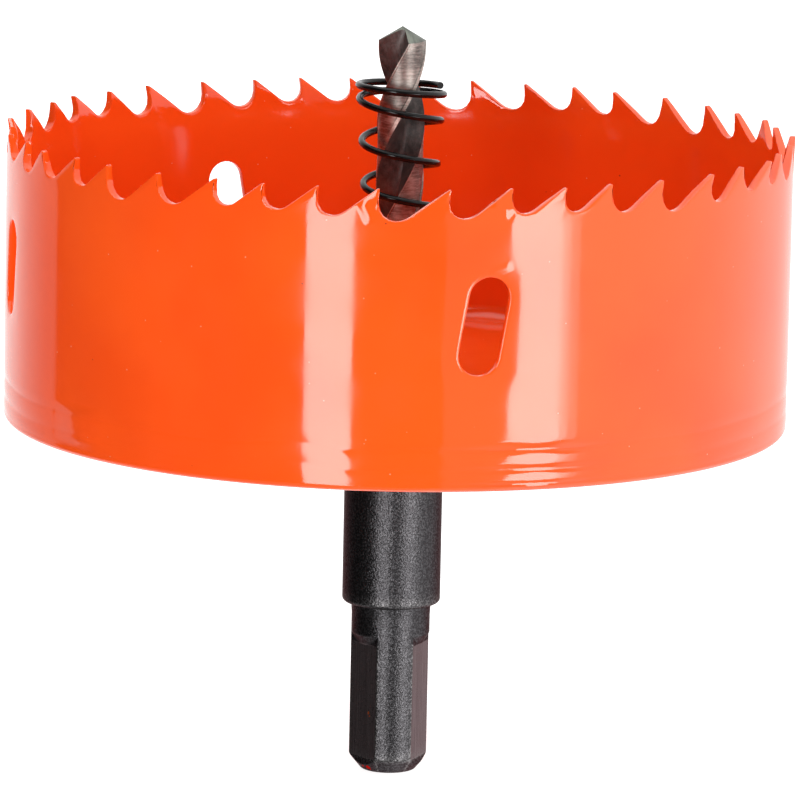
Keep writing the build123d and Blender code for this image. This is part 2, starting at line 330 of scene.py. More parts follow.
class Sheet:
    """Lays the nodes of one material or node group and links them."""

    def __init__(self, tree: bpy.types.NodeTree) -> None:
        """Starts on an empty tree."""
        self.tree = tree
        tree.nodes.clear()

    def node(self, kind: str, settings: dict | None = None, inputs: dict | None = None) -> bpy.types.Node:
        """Adds a node.

        Args:
            kind: Type of the node, without its ShaderNode prefix.
            settings: Properties of the node.
            inputs: Values or output sockets, by name or number of the input.

        Returns:
            The node.
        """
        new = self.tree.nodes.new("ShaderNode" + kind)
        for name, value in (settings or {}).items():
            setattr(new, name, value)
        for name, value in (inputs or {}).items():
            if isinstance(value, Socket):
                self.tree.links.new(value, new.inputs[name])
            else:
                new.inputs[name].default_value = value
        return new

    def math(self, operation: str, first: Input, second: Input = 0.0, clamp: bool = False) -> Socket:
        """Sum, product or other operation on two numbers."""
        settings = {"operation": operation, "use_clamp": clamp}
        return self.node("Math", settings, {0: first, 1: second}).outputs[0]

    def span(self, value: Input, low: float, high: float, start: float = 0, end: float = 1) -> Socket:
        """Brings a number from low..high smoothly to start..end."""
        inputs = {"Value": value, "From Min": low, "From Max": high, "To Min": start, "To Max": end}
        return self.node("MapRange", {"interpolation_type": "SMOOTHSTEP"}, inputs).outputs[0]

    def vector(self, operation: str, first: Input, second: Input = (0, 0, 0)) -> bpy.types.Node:
        """Operation on two vectors."""
        return self.node("VectorMath", {"operation": operation}, {0: first, 1: second})

    def blend(self, share: Input, first: Input, second: Input) -> Socket:
        """Colour between two colours."""
        settings = {"data_type": "RGBA"}
        return self.node("Mix", settings, {0: share, 6: first, 7: second}).outputs[2]

    def place(self, stretch: Sequence[float] = (1, 1, 1)) -> Socket:
        """Object coordinates in metres, stretched along each axis."""
        where = self.node("TexCoord").outputs["Object"]
        return self.node("Mapping", None, {"Vector": where, "Scale": stretch}).outputs[0]

    def noise(self, where: Input, scale: Input, detail: float = 3.0, rough: float = 0.5) -> Socket:
        """Noise from 0 to 1, with scale in grains for each metre."""
        inputs = {"Vector": where, "Scale": scale, "Detail": detail, "Roughness": rough}
        return self.node("TexNoise", None, inputs).outputs[0]

    def attribute(self, name: str) -> Socket:
        """Number that the mesh carries for each vertex."""
        return self.node("Attribute", {"attribute_name": name}).outputs["Fac"]

    def group(self, group: bpy.types.NodeTree, inputs: dict) -> bpy.types.Node:
        """Places a shared effect."""
        return self.node("Group", {"node_tree": group}, inputs)

    def given(self) -> bpy.types.NodeOutputs:
        """Inputs that a shared effect is given."""
        return self.tree.nodes.new("NodeGroupInput").outputs

    def give(self, outputs: dict[str, Socket]) -> None:
        """Closes a shared effect with what it puts out."""
        close = self.tree.nodes.new("NodeGroupOutput")
        for name, value in outputs.items():
            self.tree.links.new(value, close.inputs[name])


def new_group(name: str, inputs: dict[str, str], outputs: dict[str, str]) -> tuple[bpy.types.NodeTree, Sheet]:
    """Starts a shared effect.

    Args:
        name: Name of the effect.
        inputs: Name and kind of each input.
        outputs: Name and kind of each output.

    Returns:
        The group and the sheet that its nodes are laid on.
    """
    group = bpy.data.node_groups.new(name, "ShaderNodeTree")
    for sockets, way in ((inputs, "INPUT"), (outputs, "OUTPUT")):
        for label, kind in sockets.items():
            group.interface.new_socket(name=label, in_out=way, socket_type="NodeSocket" + kind)
    return group, Sheet(group)


class Effects:
    """Surface effects that several finishes share."""

    def __init__(self) -> None:
        """Builds each effect once."""
        self.specks = self.make_specks()
        self.grain = self.make_grain()
        self.scratches = self.make_scratches()
        self.fleck = self.make_fleck()
        self.run = self.make_run()

    @staticmethod
    def make_specks() -> bpy.types.NodeTree:
        """Round specks scattered over a surface, in a share of the cells that hold one."""
        inputs = {"Vector": "Vector", "Scale": "Float", "Size": "Float", "Share": "Float"}
        group, sheet = new_group("Specks", inputs, {"Mask": "Float"})
        given = sheet.given()
        cells = sheet.node("TexVoronoi", None, {"Vector": given["Vector"], "Scale": given["Scale"]})
        near = sheet.math("LESS_THAN", cells.outputs["Distance"], given["Size"])
        pick = sheet.node("SeparateColor", None, {"Color": cells.outputs["Color"]}).outputs["Red"]
        sheet.give({"Mask": sheet.math("MULTIPLY", near, sheet.math("LESS_THAN", pick, given["Share"]))})
        return group

    @staticmethod
    def make_grain() -> bpy.types.NodeTree:
        """Granular surface: coarse grains broken up by fine ones."""
        inputs = {"Vector": "Vector", "Scale": "Float"}
        group, sheet = new_group("Grain", inputs, {"Height": "Float", "Mask": "Float"})
        given = sheet.given()
        coarse = sheet.noise(given["Vector"], given["Scale"], 1.0, 0.5)
        fine = sheet.noise(given["Vector"], sheet.math("MULTIPLY", given["Scale"], 2.3), 0.0)
        height = sheet.math("ADD", coarse, sheet.math("MULTIPLY", fine, 0.45))
        sheet.give({"Height": height, "Mask": sheet.span(coarse, 0.42, 0.66)})
        return group

    @staticmethod
    def make_scratches() -> bpy.types.NodeTree:
        """Fine parallel lines left by grinding: the vector is stretched across them."""
        group, sheet = new_group("Scratches", {"Vector": "Vector"}, {"Height": "Float", "Mask": "Float"})
        lines = sheet.noise(sheet.given()["Vector"], 1.0, 5.0, 0.75)
        sheet.give({"Height": lines, "Mask": sheet.span(lines, 0.38, 0.7)})
        return group

    @staticmethod
    def make_fleck() -> bpy.types.NodeTree:
        """Ragged patch about one place."""
        inputs = {"Vector": "Vector", "Centre": "Vector", "Size": "Float", "Ragged": "Float"}
        group, sheet = new_group("Fleck", inputs, {"Mask": "Float"})
        given = sheet.given()
        away = sheet.vector("DISTANCE", given["Vector"], given["Centre"]).outputs["Value"]
        torn = sheet.math("SUBTRACT", sheet.noise(given["Vector"], 2600.0, 3.0, 0.6), 0.5)
        torn = sheet.math("MULTIPLY", torn, given["Ragged"])
        share = sheet.math("ADD", sheet.math("DIVIDE", away, given["Size"]), torn)
        sheet.give({"Mask": sheet.span(share, 1.0, 0.8)})
        return group

    @staticmethod
    def make_run() -> bpy.types.NodeTree:
        """Short ridge where the paint has run: a line about one place."""
        inputs = {"Vector": "Vector", "Centre": "Vector", "Along": "Vector"}
        inputs |= {"Width": "Float", "Length": "Float"}
        group, sheet = new_group("Run", inputs, {"Height": "Float"})
        given = sheet.given()
        offset = sheet.vector("SUBTRACT", given["Vector"], given["Centre"]).outputs[0]
        reach = sheet.vector("DOT_PRODUCT", offset, given["Along"]).outputs["Value"]
        nearest = sheet.node("VectorMath", {"operation": "SCALE"}, {0: given["Along"], "Scale": reach})
        across = sheet.vector("DISTANCE", offset, nearest.outputs[0]).outputs["Value"]
        side = sheet.span(sheet.math("DIVIDE", across, given["Width"]), 1.0, 0.0)
        end = sheet.span(sheet.math("DIVIDE", sheet.math("ABSOLUTE", reach), given["Length"]), 1.0, 0.4)
        sheet.give({"Height": sheet.math("MULTIPLY", side, end)})
        return group


@dataclass(frozen=True)
class Finish:
    """What every finish has: a name and a way to make its material."""

    name: str

    def start(self) -> tuple[bpy.types.Material, Sheet]:
        """Starts the material of this finish on an empty sheet."""
        material = bpy.data.materials.new(self.name)
        material.use_nodes = True
        return material, Sheet(material.node_tree)

    @staticmethod
    def finish_with(sheet: Sheet, inputs: dict, height: Input, reach: float, strength: float = 1.0) -> None:
        """Closes a material with its main shader.

        Args:
            sheet: Sheet of the material.
            inputs: Inputs of the main shader.
            height: Height of the fine relief.
            reach: What a height of 1 stands for, in metres.
            strength: How strongly the relief shows.
        """
        bump = sheet.node("Bump", None, {"Strength": strength, "Distance": reach, "Height": height})
        shader = sheet.node("BsdfPrincipled", None, {**inputs, "Normal": bump.outputs[0]})
        sheet.node("OutputMaterial", None, {"Surface": shader.outputs[0]})


@dataclass(frozen=True)
class PaintRun:
    """One ridge in the paint: its middle, its direction, its size in metres and its height in peels."""

    centre: Place
    along: Place
    width: float
    length: float
    height: float


@dataclass(frozen=True)
class CupPaint(Finish):
    """Glossy sprayed paint with dust nibs, runs and a little orange peel."""

    colour: Colour = (0.97, 0.094, 0.0088, 1)
    deep: Colour = (0.91, 0.077, 0.0068, 1)
    pale_nib: Colour = (0.95, 0.3, 0.16, 1)
    dark_nib: Colour = (0.25, 0.03, 0.012, 1)
    runs: tuple[PaintRun, ...] = ()

    def material(self, effects: Effects) -> bpy.types.Material:
        """Makes the paint.

        Args:
            effects: The shared surface effects.

        Returns:
            The material.
        """
        material, sheet = self.start()
        where = sheet.place()
        clouds = sheet.span(sheet.noise(where, 45.0, 3.0), 0.35, 0.7)
        colour = sheet.blend(clouds, self.colour, self.deep)
        pale = sheet.group(effects.specks, {"Vector": where, "Scale": 420.0, "Size": 0.042, "Share": 0.8})
        dark = sheet.group(effects.specks, {"Vector": where, "Scale": 230.0, "Size": 0.026, "Share": 0.5})
        colour = sheet.blend(sheet.math("MULTIPLY", pale.outputs[0], 0.75), colour, self.pale_nib)
        colour = sheet.blend(sheet.math("MULTIPLY", dark.outputs[0], 0.8), colour, self.dark_nib)
        wave = sheet.math("MULTIPLY", sheet.noise(where, 90.0, 1.0), 5.0)
        height = sheet.math("ADD", sheet.noise(where, 480.0, 2.0), wave)
        height = sheet.math("ADD", height, sheet.math("MULTIPLY", pale.outputs[0], 4.0))
        for run in self.runs:
            inputs = {"Vector": where, "Centre": run.centre, "Along": run.along, "Width": run.width}
            ridge = sheet.group(effects.run, {**inputs, "Length": run.length}).outputs[0]
            height = sheet.math("ADD", height, sheet.math("MULTIPLY", ridge, run.height))
        rough = sheet.span(sheet.noise(where, 160.0, 2.0), 0.3, 0.7, 0.05, 0.11)
        self.finish_with(sheet, {"Base Color": colour, "Roughness": rough, "IOR": 1.52}, height, 2.2e-6)
        return material


@dataclass(frozen=True)
class Fleck:
    """One stray spot of colour: its middle, its size in metres, how ragged it is, and its colour."""

    centre: Place
    size: float
    ragged: float
    colour: Colour


@dataclass(frozen=True)
class BlackOxide(Finish):
    """Blackened steel: fine-grained and matte, with grinding lines on its flats and rubbed edges."""

    grain_scale: float = 4200.0
    dark: Colour = (0.04, 0.038, 0.04, 1)
    light: Colour = (0.1, 0.097, 0.102, 1)
    ground: Colour = (0.24, 0.2, 0.205, 1)
    worn_off: Colour = (0.15, 0.125, 0.13, 1)
    worn: Colour = (0.26, 0.25, 0.25, 1)
    glancing: Colour = (0.45, 0.36, 0.36, 1)
    flecks: tuple[Fleck, ...] = ()

    def material(self, effects: Effects) -> bpy.types.Material:
        """Makes the black finish.

        Args:
            effects: The shared surface effects.

        Returns:
            The material.
        """
        material, sheet = self.start()
        where = sheet.place()
        grain = sheet.group(effects.grain, {"Vector": where, "Scale": self.grain_scale})
        clouds = sheet.span(sheet.noise(where, 260.0, 3.0), 0.35, 0.7)
        colour = sheet.blend(sheet.math("MULTIPLY", grain.outputs["Mask"], 0.8), self.dark, self.light)
        colour = sheet.blend(sheet.math("MULTIPLY", clouds, 0.2), colour, self.dark)
        lines = sheet.group(effects.scratches, {"Vector": sheet.place((5200, 5200, 90))})
        bare = sheet.attribute("ground")
        colour = sheet.blend(bare, colour, sheet.blend(lines.outputs["Mask"], self.worn_off, self.ground))
        patchy = sheet.math("ADD", grain.outputs["Mask"], 0.25)
        worn = sheet.math("MULTIPLY", sheet.attribute("edge"), patchy, clamp=True)
        colour = sheet.blend(worn, colour, self.worn)
        for fleck in self.flecks:
            inputs = {"Vector": where, "Centre": fleck.centre, "Size": fleck.size, "Ragged": fleck.ragged}
            colour = sheet.blend(sheet.group(effects.fleck, inputs).outputs[0], colour, fleck.colour)
        left_rough = sheet.math("SUBTRACT", 1.0, sheet.math("MULTIPLY", bare, 0.75))
        height = sheet.math("MULTIPLY", grain.outputs["Height"], left_rough)
        scored = sheet.math("MULTIPLY", lines.outputs["Height"], sheet.math("MULTIPLY", bare, 0.5))
        rough = sheet.span(grain.outputs["Height"], 0.45, 1.0, 0.27, 0.36)
        inputs = {"Base Color": colour, "Roughness": rough, "Metallic": 1.0, "Specular Tint": self.glancing}
        self.finish_with(sheet, inputs, sheet.math("ADD", height, scored), 4.6e-5)
        return material


@dataclass(frozen=True)
class DrillSteel(Finish):
    """Ground steel of the drill, with its grinding lines."""

    dark: Colour = (0.1, 0.09, 0.084, 1)
    light: Colour = (0.48, 0.44, 0.4, 1)
    stretch: tuple[float, float, float] = (700, 700, 4200)
    metal: float = 1.0
    rough: tuple[float, float] = (0.36, 0.52)
    relief: float = 9e-6

    def material(self, effects: Effects) -> bpy.types.Material:
        """Makes the steel.

        Args:
            effects: The shared surface effects.

        Returns:
            The material.
        """
        material, sheet = self.start()
        where = sheet.place()
        lines = sheet.group(effects.scratches, {"Vector": sheet.place(self.stretch)})
        clouds = sheet.span(sheet.noise(where, 420.0, 3.0), 0.3, 0.7)
        share = sheet.math("MULTIPLY", lines.outputs["Mask"], 0.6)
        share = sheet.math("ADD", share, sheet.math("MULTIPLY", clouds, 0.45))
        colour = sheet.blend(share, self.dark, self.light)
        rough = sheet.span(lines.outputs["Height"], 0.3, 0.7, *self.rough)
        inputs = {"Base Color": colour, "Roughness": rough, "Metallic": self.metal}
        self.finish_with(sheet, inputs, lines.outputs["Height"], self.relief)
        return material


@dataclass(frozen=True)
class SpringWire(Finish):
    """Oil-blackened drawn wire with a soft, uneven shine."""

    dark: Colour = (0.0016, 0.0015, 0.0016, 1)
    light: Colour = (0.005, 0.0046, 0.0046, 1)

    def material(self, effects: Effects) -> bpy.types.Material:
        """Makes the wire's finish.

        Args:
            effects: The shared surface effects.

        Returns:
            The material.
        """
        material, sheet = self.start()
        where = sheet.place()
        grain = sheet.group(effects.grain, {"Vector": where, "Scale": 2300.0})
        colour = sheet.blend(grain.outputs["Mask"], self.dark, self.light)
        rough = sheet.span(sheet.noise(where, 900.0, 2.0), 0.3, 0.7, 0.14, 0.26)
        inputs = {"Base Color": colour, "Roughness": rough, "IOR": 1.33}
        self.finish_with(sheet, inputs, grain.outputs["Height"], 1.6e-6)
        return material


# ---- Pieces -------------------------------------------------------------------------


@dataclass
class Piece:
    """One piece of the saw: its mesh, its finish and its place in the frame."""

    node: str
    slot: Slot

    def build(self) -> bpy.types.Object:
        """Builds the mesh in millimetres."""
        raise NotImplementedError

    def dress(self, piece: bpy.types.Object, finishes: dict[str, bpy.types.Material]) -> None:
        """Gives the mesh its finish.

        Args:
            piece: The piece.
            finishes: Every finish, by name.
        """
        piece.data.materials.clear()
        piece.data.materials.append(finishes[self.slot.value])

    def install(self, finishes: dict[str, bpy.types.Material]) -> bpy.types.Object:
        """Builds and dresses the piece, brings it to metres and sets it on the frame.

        Args:
            finishes: Every finish, by name.

        Returns:
            The finished piece.
        """
        piece = self.build()
        piece.data.transform(Matrix.Scale(MM, 4))
        piece.data.update()
        for layer in ("ground", "edge"):
            if layer not in piece.data.attributes:
                mark(piece, layer, np.zeros(len(piece.data.vertices)))
        self.dress(piece, finishes)
        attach(piece, "root")
        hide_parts(self.node)
        piece.data.calc_loop_triangles()
        log.info("%s: %d triangles", piece.name, len(piece.data.loop_triangles))
        return piece


@dataclass
class SawBand(Piece):
    """The toothed band: a flat strip with its teeth and slots, rolled to a ring and ribbed at its foot."""

    node: str = "saw_band"
    slot: Slot = Slot.CUP_PAINT
    outer: float = CUP_RADIUS
    thickness: float = 1.2
    foot: float = 45.3
    foot_radius: float = 0.9
    tip: float = 82.3
    tooth_base: float = 77.0
    tooth_set: float = 0.4
    bend: float = 79.511
    pitch_cycle: tuple[float, ...] = (9.9, 9.0, 7.7, 7.7, 8.7)
    set_cycle: tuple[Lean, ...] = (Lean.STRAIGHT, Lean.OUT, Lean.IN, Lean.OUT, Lean.IN)
    cycles: int = 8
    seam_teeth: int = 2
    first_tip: float = -57.7
    land: float = 0.3
    land_fall: float = 0.08
    gullet_depth: float = 0.465
    gullet_bottom: float = 0.225
    rake_height: float = 0.2
    hook: float = 0.015
    ramp_radius: float = 0.36
    slot_azimuths: tuple[float, ...] = (0.4, 94.0, 195.6, 270.4)
    slot_radius: float = 2.52
    slot_half: float = 3.55
    slot_tilt: float = 10.0
    slot_height: float = 65.6
    slot_rings: tuple[float, ...] = (0.75, 0.3, 0.0)
    slot_margin: float = 0.55
    slot_lip: tuple[float, float] = (0.10, 0.35)  # depth and reach of the edge that turns in
    slot_dish: tuple[float, float] = (0.03, 1.6)  # depth and reach of the hollow round a slot
    edge_round: float = 0.13
    sharp: float = 38.0  # edges sharper than this many degrees are rounded
    rib_row: float = 0.23
    wall_rows: int = 21
    left_streak: float = 338.5
    right_streak: float = 8.3
    thinned: tuple[tuple[float, float, float], ...] = ((0.14, 76.0, 79.0), (0.26, 80.3, 82.3))
    wall_waves: Waves = ((5, 0.010, 20), (11, 0.008, 80), (17, 0.006, 140), (29, 0.004, 10))
    rib_waves: Waves = ((3, 0.1, 40), (7, 0.08, 110), (13, 0.1, 200), (23, 0.07, 60))
    wander_waves: Waves = ((4, 0.12, 0), (9, 0.08, 70), (19, 0.06, 150))
    ripples: tuple[tuple[float, float, float, float], ...] = (  # from, to, crest, depth
        (46.2, 48.05, 47.1, 0.10),
        (48.05, 50.5, 49.27, 0.13),
        (50.5, 52.1, 52.1, 0.16),
    )

    def gap(self, pitch: float) -> tuple[Outline, Outline]:
        """Outline of the gap from one tip to the next, about its middle.

        Args:
            pitch: Angle from tip to tip, in degrees.

        Returns:
            Points from the first tip down to the lowest point, and from there up to the next tip.
        """
        half = self.outer * sin(radians(pitch) / 2)
        size = 2 * half
        low = Vector((self.gullet_bottom * size - half, -self.gullet_depth * size))
        foot = Vector((-half - self.hook * size, -self.rake_height * size))
        rise = foot - low
        floor_radius = rise.length_squared / (2 * rise.y)
        floor_angle = atan2(-rise.x, floor_radius - rise.y)
        ramp_radius = self.ramp_radius * size
        ramp_end = Vector((half - self.land, -self.land_fall))
        sight = ramp_end - low - Vector((0, ramp_radius))
        ramp_angle = atan2(sight.y, sight.x) + asin(ramp_radius / sight.length)
        down = [(-half, 0.0), tuple(Vector((-half, 0)).lerp(foot, 0.5)), tuple(foot)]
        for step in (0.72, 0.47, 0.23, 0.0):
            turn = floor_angle * step
            down.append((low.x - floor_radius * sin(turn), low.y + floor_radius * (1 - cos(turn))))
        up = []
        for step in (0.0, 0.34, 0.67, 1.0):
            turn = ramp_angle * step
            up.append((low.x + ramp_radius * sin(turn), low.y + ramp_radius * (1 - cos(turn))))
        start = Vector(up[-1])
        up += [tuple(start.lerp(ramp_end, step)) for step in (0.25, 0.5, 0.75, 1.0)]
        up.append((half, 0.0))
        return down, up

    def columns(self) -> np.ndarray:
        """Columns of the strip: azimuth and height at the teeth, lean, and azimuth below them."""
        seam_pitch = (360 - self.cycles * sum(self.pitch_cycle)) / self.seam_teeth
        pitches = list(self.pitch_cycle) * self.cycles + [seam_pitch] * self.seam_teeth
        leans = list(self.set_cycle) * self.cycles + list(self.set_cycle[1 : 1 + self.seam_teeth])
        rows: list[tuple[float, float, float, float]] = []
        tip = self.first_tip
        for pitch, before, lean in zip(pitches, pitches[-1:] + pitches[:-1], leans):
            rise = [(tip - before / 2, point) for point in self.gap(before)[1]]
            fall = [(tip + pitch / 2, point) for point in self.gap(pitch)[0]][1:]
            around = [(middle + np.degrees(asin(u / self.outer)), v) for middle, (u, v) in rise + fall]
            flat = np.array([(radians(azimuth) * self.outer, v) for azimuth, v in around])
            travel = np.concatenate(([0], np.cumsum(np.hypot(*np.diff(flat, axis=0).T))))
            below = around[0][0] + (around[-1][0] - around[0][0]) * travel / travel[-1]
            first = 1 if rows else 0
            for index in range(first, len(around)):
                rows.append((around[index][0], self.tip + around[index][1], lean.value, below[index]))
            tip += pitch
        return np.array(rows)

    def heights(self) -> np.ndarray:
        """Heights of the strip's rows below the teeth."""
        rim = [self.foot + self.foot_radius * (1 - cos(angle)) for angle in QUARTER]
        ripples = [
            np.linspace(low, high, round((high - low) / self.rib_row) + 1)[1:]
            for low, high, _, _ in self.ripples
        ]
        wall = np.linspace(self.ripples[-1][1], self.tooth_base, self.wall_rows)[1:]
        return np.concatenate((rim, *ripples, wall))

    def ripple_depth(self, z: np.ndarray) -> np.ndarray:
        """Depth of the hollows pressed round the foot: rounded ribs that meet in creases.

        Args:
            z: Heights.

        Returns:
            The depth at each height, before its strength.
        """
        depth = np.zeros(len(z))
        for low, high, crest, deepest in self.ripples:
            half = max(crest - low, high - crest)
            inside = (z >= low) & (z < high)
            depth = np.where(inside, deepest * ((z - crest) / half) ** 2, depth)
        return depth

    def ripple_strength(self, azimuth: np.ndarray) -> np.ndarray:
        """How strongly the ribs show round the cup.

        Args:
            azimuth: Azimuths, in degrees.

        Returns:
            A factor on their depth at each azimuth.
        """
        strength = 0.7 + noise_ring(azimuth, self.rib_waves)
        right = wrapped(azimuth, self.right_streak, 360)
        left = wrapped(azimuth, self.left_streak, 360)
        strength += 0.7 * np.exp(-((right / 9) ** 2)) * (0.6 + np.clip((right / 4.2) ** 2, 0, 1.2))
        return strength - 0.06 * np.exp(-((left / 8) ** 2))

    def slot_axes(self, x: np.ndarray, z: np.ndarray, azimuth: float) -> tuple[np.ndarray, np.ndarray]:
        """How far points of the flat strip lie across and along a slot, from its middle.

        Args:
            x: Places along the strip.
            z: Heights.
            azimuth: Azimuth of the slot's middle.

        Returns:
            The distances across and along.
        """
        tilt = radians(self.slot_tilt)
        dx, dz = x - radians(azimuth) * self.outer, z - self.slot_height
        return dx * cos(tilt) - dz * sin(tilt), dx * sin(tilt) + dz * cos(tilt)

    def slot_distance(self, x: np.ndarray, z: np.ndarray, azimuth: float) -> np.ndarray:
        """Distance from the edge of a slot, on the flat strip, below zero inside it.

        Args:
            x: Places along the strip.
            z: Heights.
            azimuth: Azimuth of the slot's middle.

        Returns:
            The distance of each point.
        """
        across, along = self.slot_axes(x, z, azimuth)
        return np.hypot(across, along - np.clip(along, -self.slot_half, self.slot_half)) - self.slot_radius

    def to_slot(
        self, x: np.ndarray, z: np.ndarray, azimuth: float, offset: float
    ) -> tuple[np.ndarray, np.ndarray]:
        """Brings points in from round a slot to a line at an offset from its edge.

        Args:
            x: Places along the flat strip.
            z: Heights.
            azimuth: Azimuth of the slot's middle.
            offset: Distance of the line from the slot's edge.

        Returns:
            The new places along the strip and the new heights.
        """
        across, along = self.slot_axes(x, z, azimuth)
        length = np.hypot(across, along)
        a, b = across / length, np.abs(along) / length
        radius = self.slot_radius + offset
        side = radius / np.maximum(np.abs(a), 1e-9)
        root = np.sqrt(np.maximum((b * self.slot_half) ** 2 - self.slot_half**2 + radius**2, 0))
        reach = np.where(side * b <= self.slot_half, side, b * self.slot_half + root)
        across, along = across / length * reach, along / length * reach
        tilt = radians(self.slot_tilt)
        centre = radians(azimuth) * self.outer
        new_x = centre + across * cos(tilt) + along * sin(tilt)
        return new_x, self.slot_height - across * sin(tilt) + along * cos(tilt)

    def build(self) -> bpy.types.Object:
        """Builds the strip, gives it its thickness and rolls it."""
        columns, heights = self.columns(), self.heights()
        shares = (0.25, 0.5, 0.74, 1.0)
        rows = len(heights) + len(shares)
        bpy.ops.object.select_all(action="DESELECT")
        bpy.ops.mesh.primitive_grid_add(x_subdivisions=len(columns) - 1, y_subdivisions=rows - 1, size=2)
        piece = bpy.context.object
        piece.name = piece.data.name = "band"
        grid = points_of(piece)
        column = np.round((grid[:, 0] + 1) / 2 * (len(columns) - 1)).astype(int)
        row = np.round((grid[:, 1] + 1) / 2 * (rows - 1)).astype(int)
        share = np.concatenate((np.zeros(len(heights)), shares))[row]
        base = np.concatenate((heights, np.full(len(shares), self.tooth_base)))[row]
        azimuth = columns[column, 3] + (columns[column, 0] - columns[column, 3]) * share
        height = base + (columns[column, 1] - base) * share
        put_points(piece, np.column_stack((np.radians(azimuth) * self.outer, 0 * height, height)))
        mark(piece, "lean", columns[column, 2])
        for azimuth in self.slot_azimuths:
            self.open_slot(piece, azimuth)

        wall = piece.modifiers.new("wall", "SOLIDIFY")
        wall.thickness, wall.offset = self.thickness, 1
        bpy.context.view_layer.objects.active = piece
        bpy.ops.object.modifier_apply(modifier=wall.name)
        self.drop_ends(piece, columns)
        self.roll(piece)
        close_up(piece)
        self.round_edges(piece)
        close_up(piece)
        smooth(piece, 40)
        return piece

    def round_edges(self, piece: bpy.types.Object) -> None:
        """Rounds the sharp edges of the teeth and the slots, and leaves the ribs as they are.

        Args:
            piece: The rolled band.
        """
        with editing(piece, "EDGE"):
            bpy.ops.mesh.edges_select_sharp(sharpness=radians(self.sharp))
        low = points_of(piece)[edge_ends(piece)[:, 0], 2] < self.ripples[-1][1]
        with editing(piece, "EDGE", selected(piece, "edges") & ~low):
            bpy.ops.mesh.bevel(offset=self.edge_round, segments=2, profile=0.55, clamp_overlap=False)

    def open_slot(self, piece: bpy.types.Object, azimuth: float) -> None:
        """Cuts a window in the strip and draws its edges in to the slot.

        Args:
            piece: The flat strip.
            azimuth: Azimuth of the slot's middle.
        """
        centres = np.array([tuple(face.center) for face in piece.data.polygons])
        middle = radians(azimuth) * self.outer
        reach = self.slot_radius + self.slot_rings[0] + self.slot_margin
        beside = np.abs(centres[:, 0] - middle) < reach + self.slot_half * sin(radians(self.slot_tilt))
        inside = beside & (np.abs(centres[:, 2] - self.slot_height) < reach + self.slot_half)
        with editing(piece, "FACE", inside):
            bpy.ops.mesh.region_to_loop()
        keep = {tuple(np.round(point, 5)) for point in points_of(piece)[selected(piece, "vertices")]}
        with editing(piece, "FACE", inside):
            bpy.ops.mesh.delete(type="FACE")
        chosen = np.array([tuple(point) in keep for point in np.round(points_of(piece), 5)])
        for offset in self.slot_rings:
            ends = edge_ends(piece)
            sides = np.zeros(len(piece.data.loops), dtype=int)
            piece.data.loops.foreach_get("edge_index", sides)
            single = np.bincount(sides, minlength=len(ends)) == 1
            with editing(piece, "EDGE", single & chosen[ends].all(axis=1)):
                bpy.ops.mesh.extrude_edges_indiv()
            chosen = selected(piece, "vertices")
            points = points_of(piece)
            x, z = self.to_slot(points[chosen, 0], points[chosen, 2], azimuth, offset)
            points[chosen, 0], points[chosen, 2] = x, z
            put_points(piece, points)

    def drop_ends(self, piece: bpy.types.Object, columns: np.ndarray) -> None:
        """Removes the two end faces of the strip, which the seam joins.

        Args:
            piece: The strip, with its thickness.
            columns: Columns of the strip, as columns() gives them.
        """
        points = points_of(piece)
        ends = np.radians([columns[0, 0], columns[-1, 0]]) * self.outer
        at_end = np.abs(points[:, 0, None] - ends).min(axis=1) < 1e-4
        chosen = [all(at_end[index] for index in face.vertices) for face in piece.data.polygons]
        with editing(piece, "FACE", np.array(chosen)):
            bpy.ops.mesh.delete(type="ONLY_FACE")

    def roll(self, piece: bpy.types.Object) -> None:
        """Rolls the strip to a ring, sets its teeth and presses in its foot and slots.

        Args:
            piece: The strip, with its thickness.
        """
        points = points_of(piece)
        x, z = points[:, 0], points[:, 2]
        depth = np.abs(points[:, 1])
        thinned = sum(share * smooth_step(z, low, high) for share, low, high in self.thinned)
        azimuth = np.degrees(x / self.outer)
        lean = np.zeros(len(points), dtype=np.float32)
        piece.data.attributes["lean"].data.foreach_get("value", lean)
        piece.data.attributes.remove(piece.data.attributes["lean"])
        skin = 1 - depth / self.thickness  # 1 on the outside of the wall, 0 on the inside
        waviness = noise_ring(azimuth, self.wall_waves) * smooth_step(self.tip - z, 0, 6)
        left = wrapped(azimuth, self.left_streak, 360)
        wander = noise_ring(azimuth, self.wander_waves)
        wander += 0.6 * np.sin(left * pi / 13) * np.exp(-((left / 11) ** 2))
        strength, round_top = self.ripple_strength(azimuth), self.foot + self.foot_radius
        low = self.ripple_depth(z) * strength * smooth_step(z, self.foot, round_top)
        round_off = np.clip(round_top - z, 0, self.foot_radius)
        round_off = self.foot_radius - np.sqrt(self.foot_radius**2 - round_off**2)
        foot_depth = self.ripple_depth(np.full(1, round_top))[0] * strength
        pressed = np.where(z < round_top, foot_depth, low) + round_off
        radius = self.outer - depth * (1 - thinned) + waviness - skin * pressed
        radius = np.where(skin > 0.5, np.minimum(radius, self.outer), radius)
        z = z - wander * smooth_step(z, 45.9, 47.6) * smooth_step(56 - z, 0, 3)
        radius += lean * self.tooth_set * np.clip((z - self.bend) / (self.tip - self.bend), 0, None)
        for slot_azimuth in self.slot_azimuths:
            near = wrapped(azimuth, slot_azimuth, 360)
            away = self.slot_distance(np.radians(near + slot_azimuth) * self.outer, z, slot_azimuth)
            lip = self.slot_lip[0] * np.exp(-np.clip(away, 0, None) / self.slot_lip[1])
            dish = self.slot_dish[0] * np.exp(-((np.clip(away, 0, 9) / self.slot_dish[1]) ** 2))
            radius -= (np.abs(near) < 12) * skin * (lip + dish)
        turn = np.radians(azimuth)
        put_points(piece, np.column_stack((radius * np.sin(turn), -radius * np.cos(turn), z)))


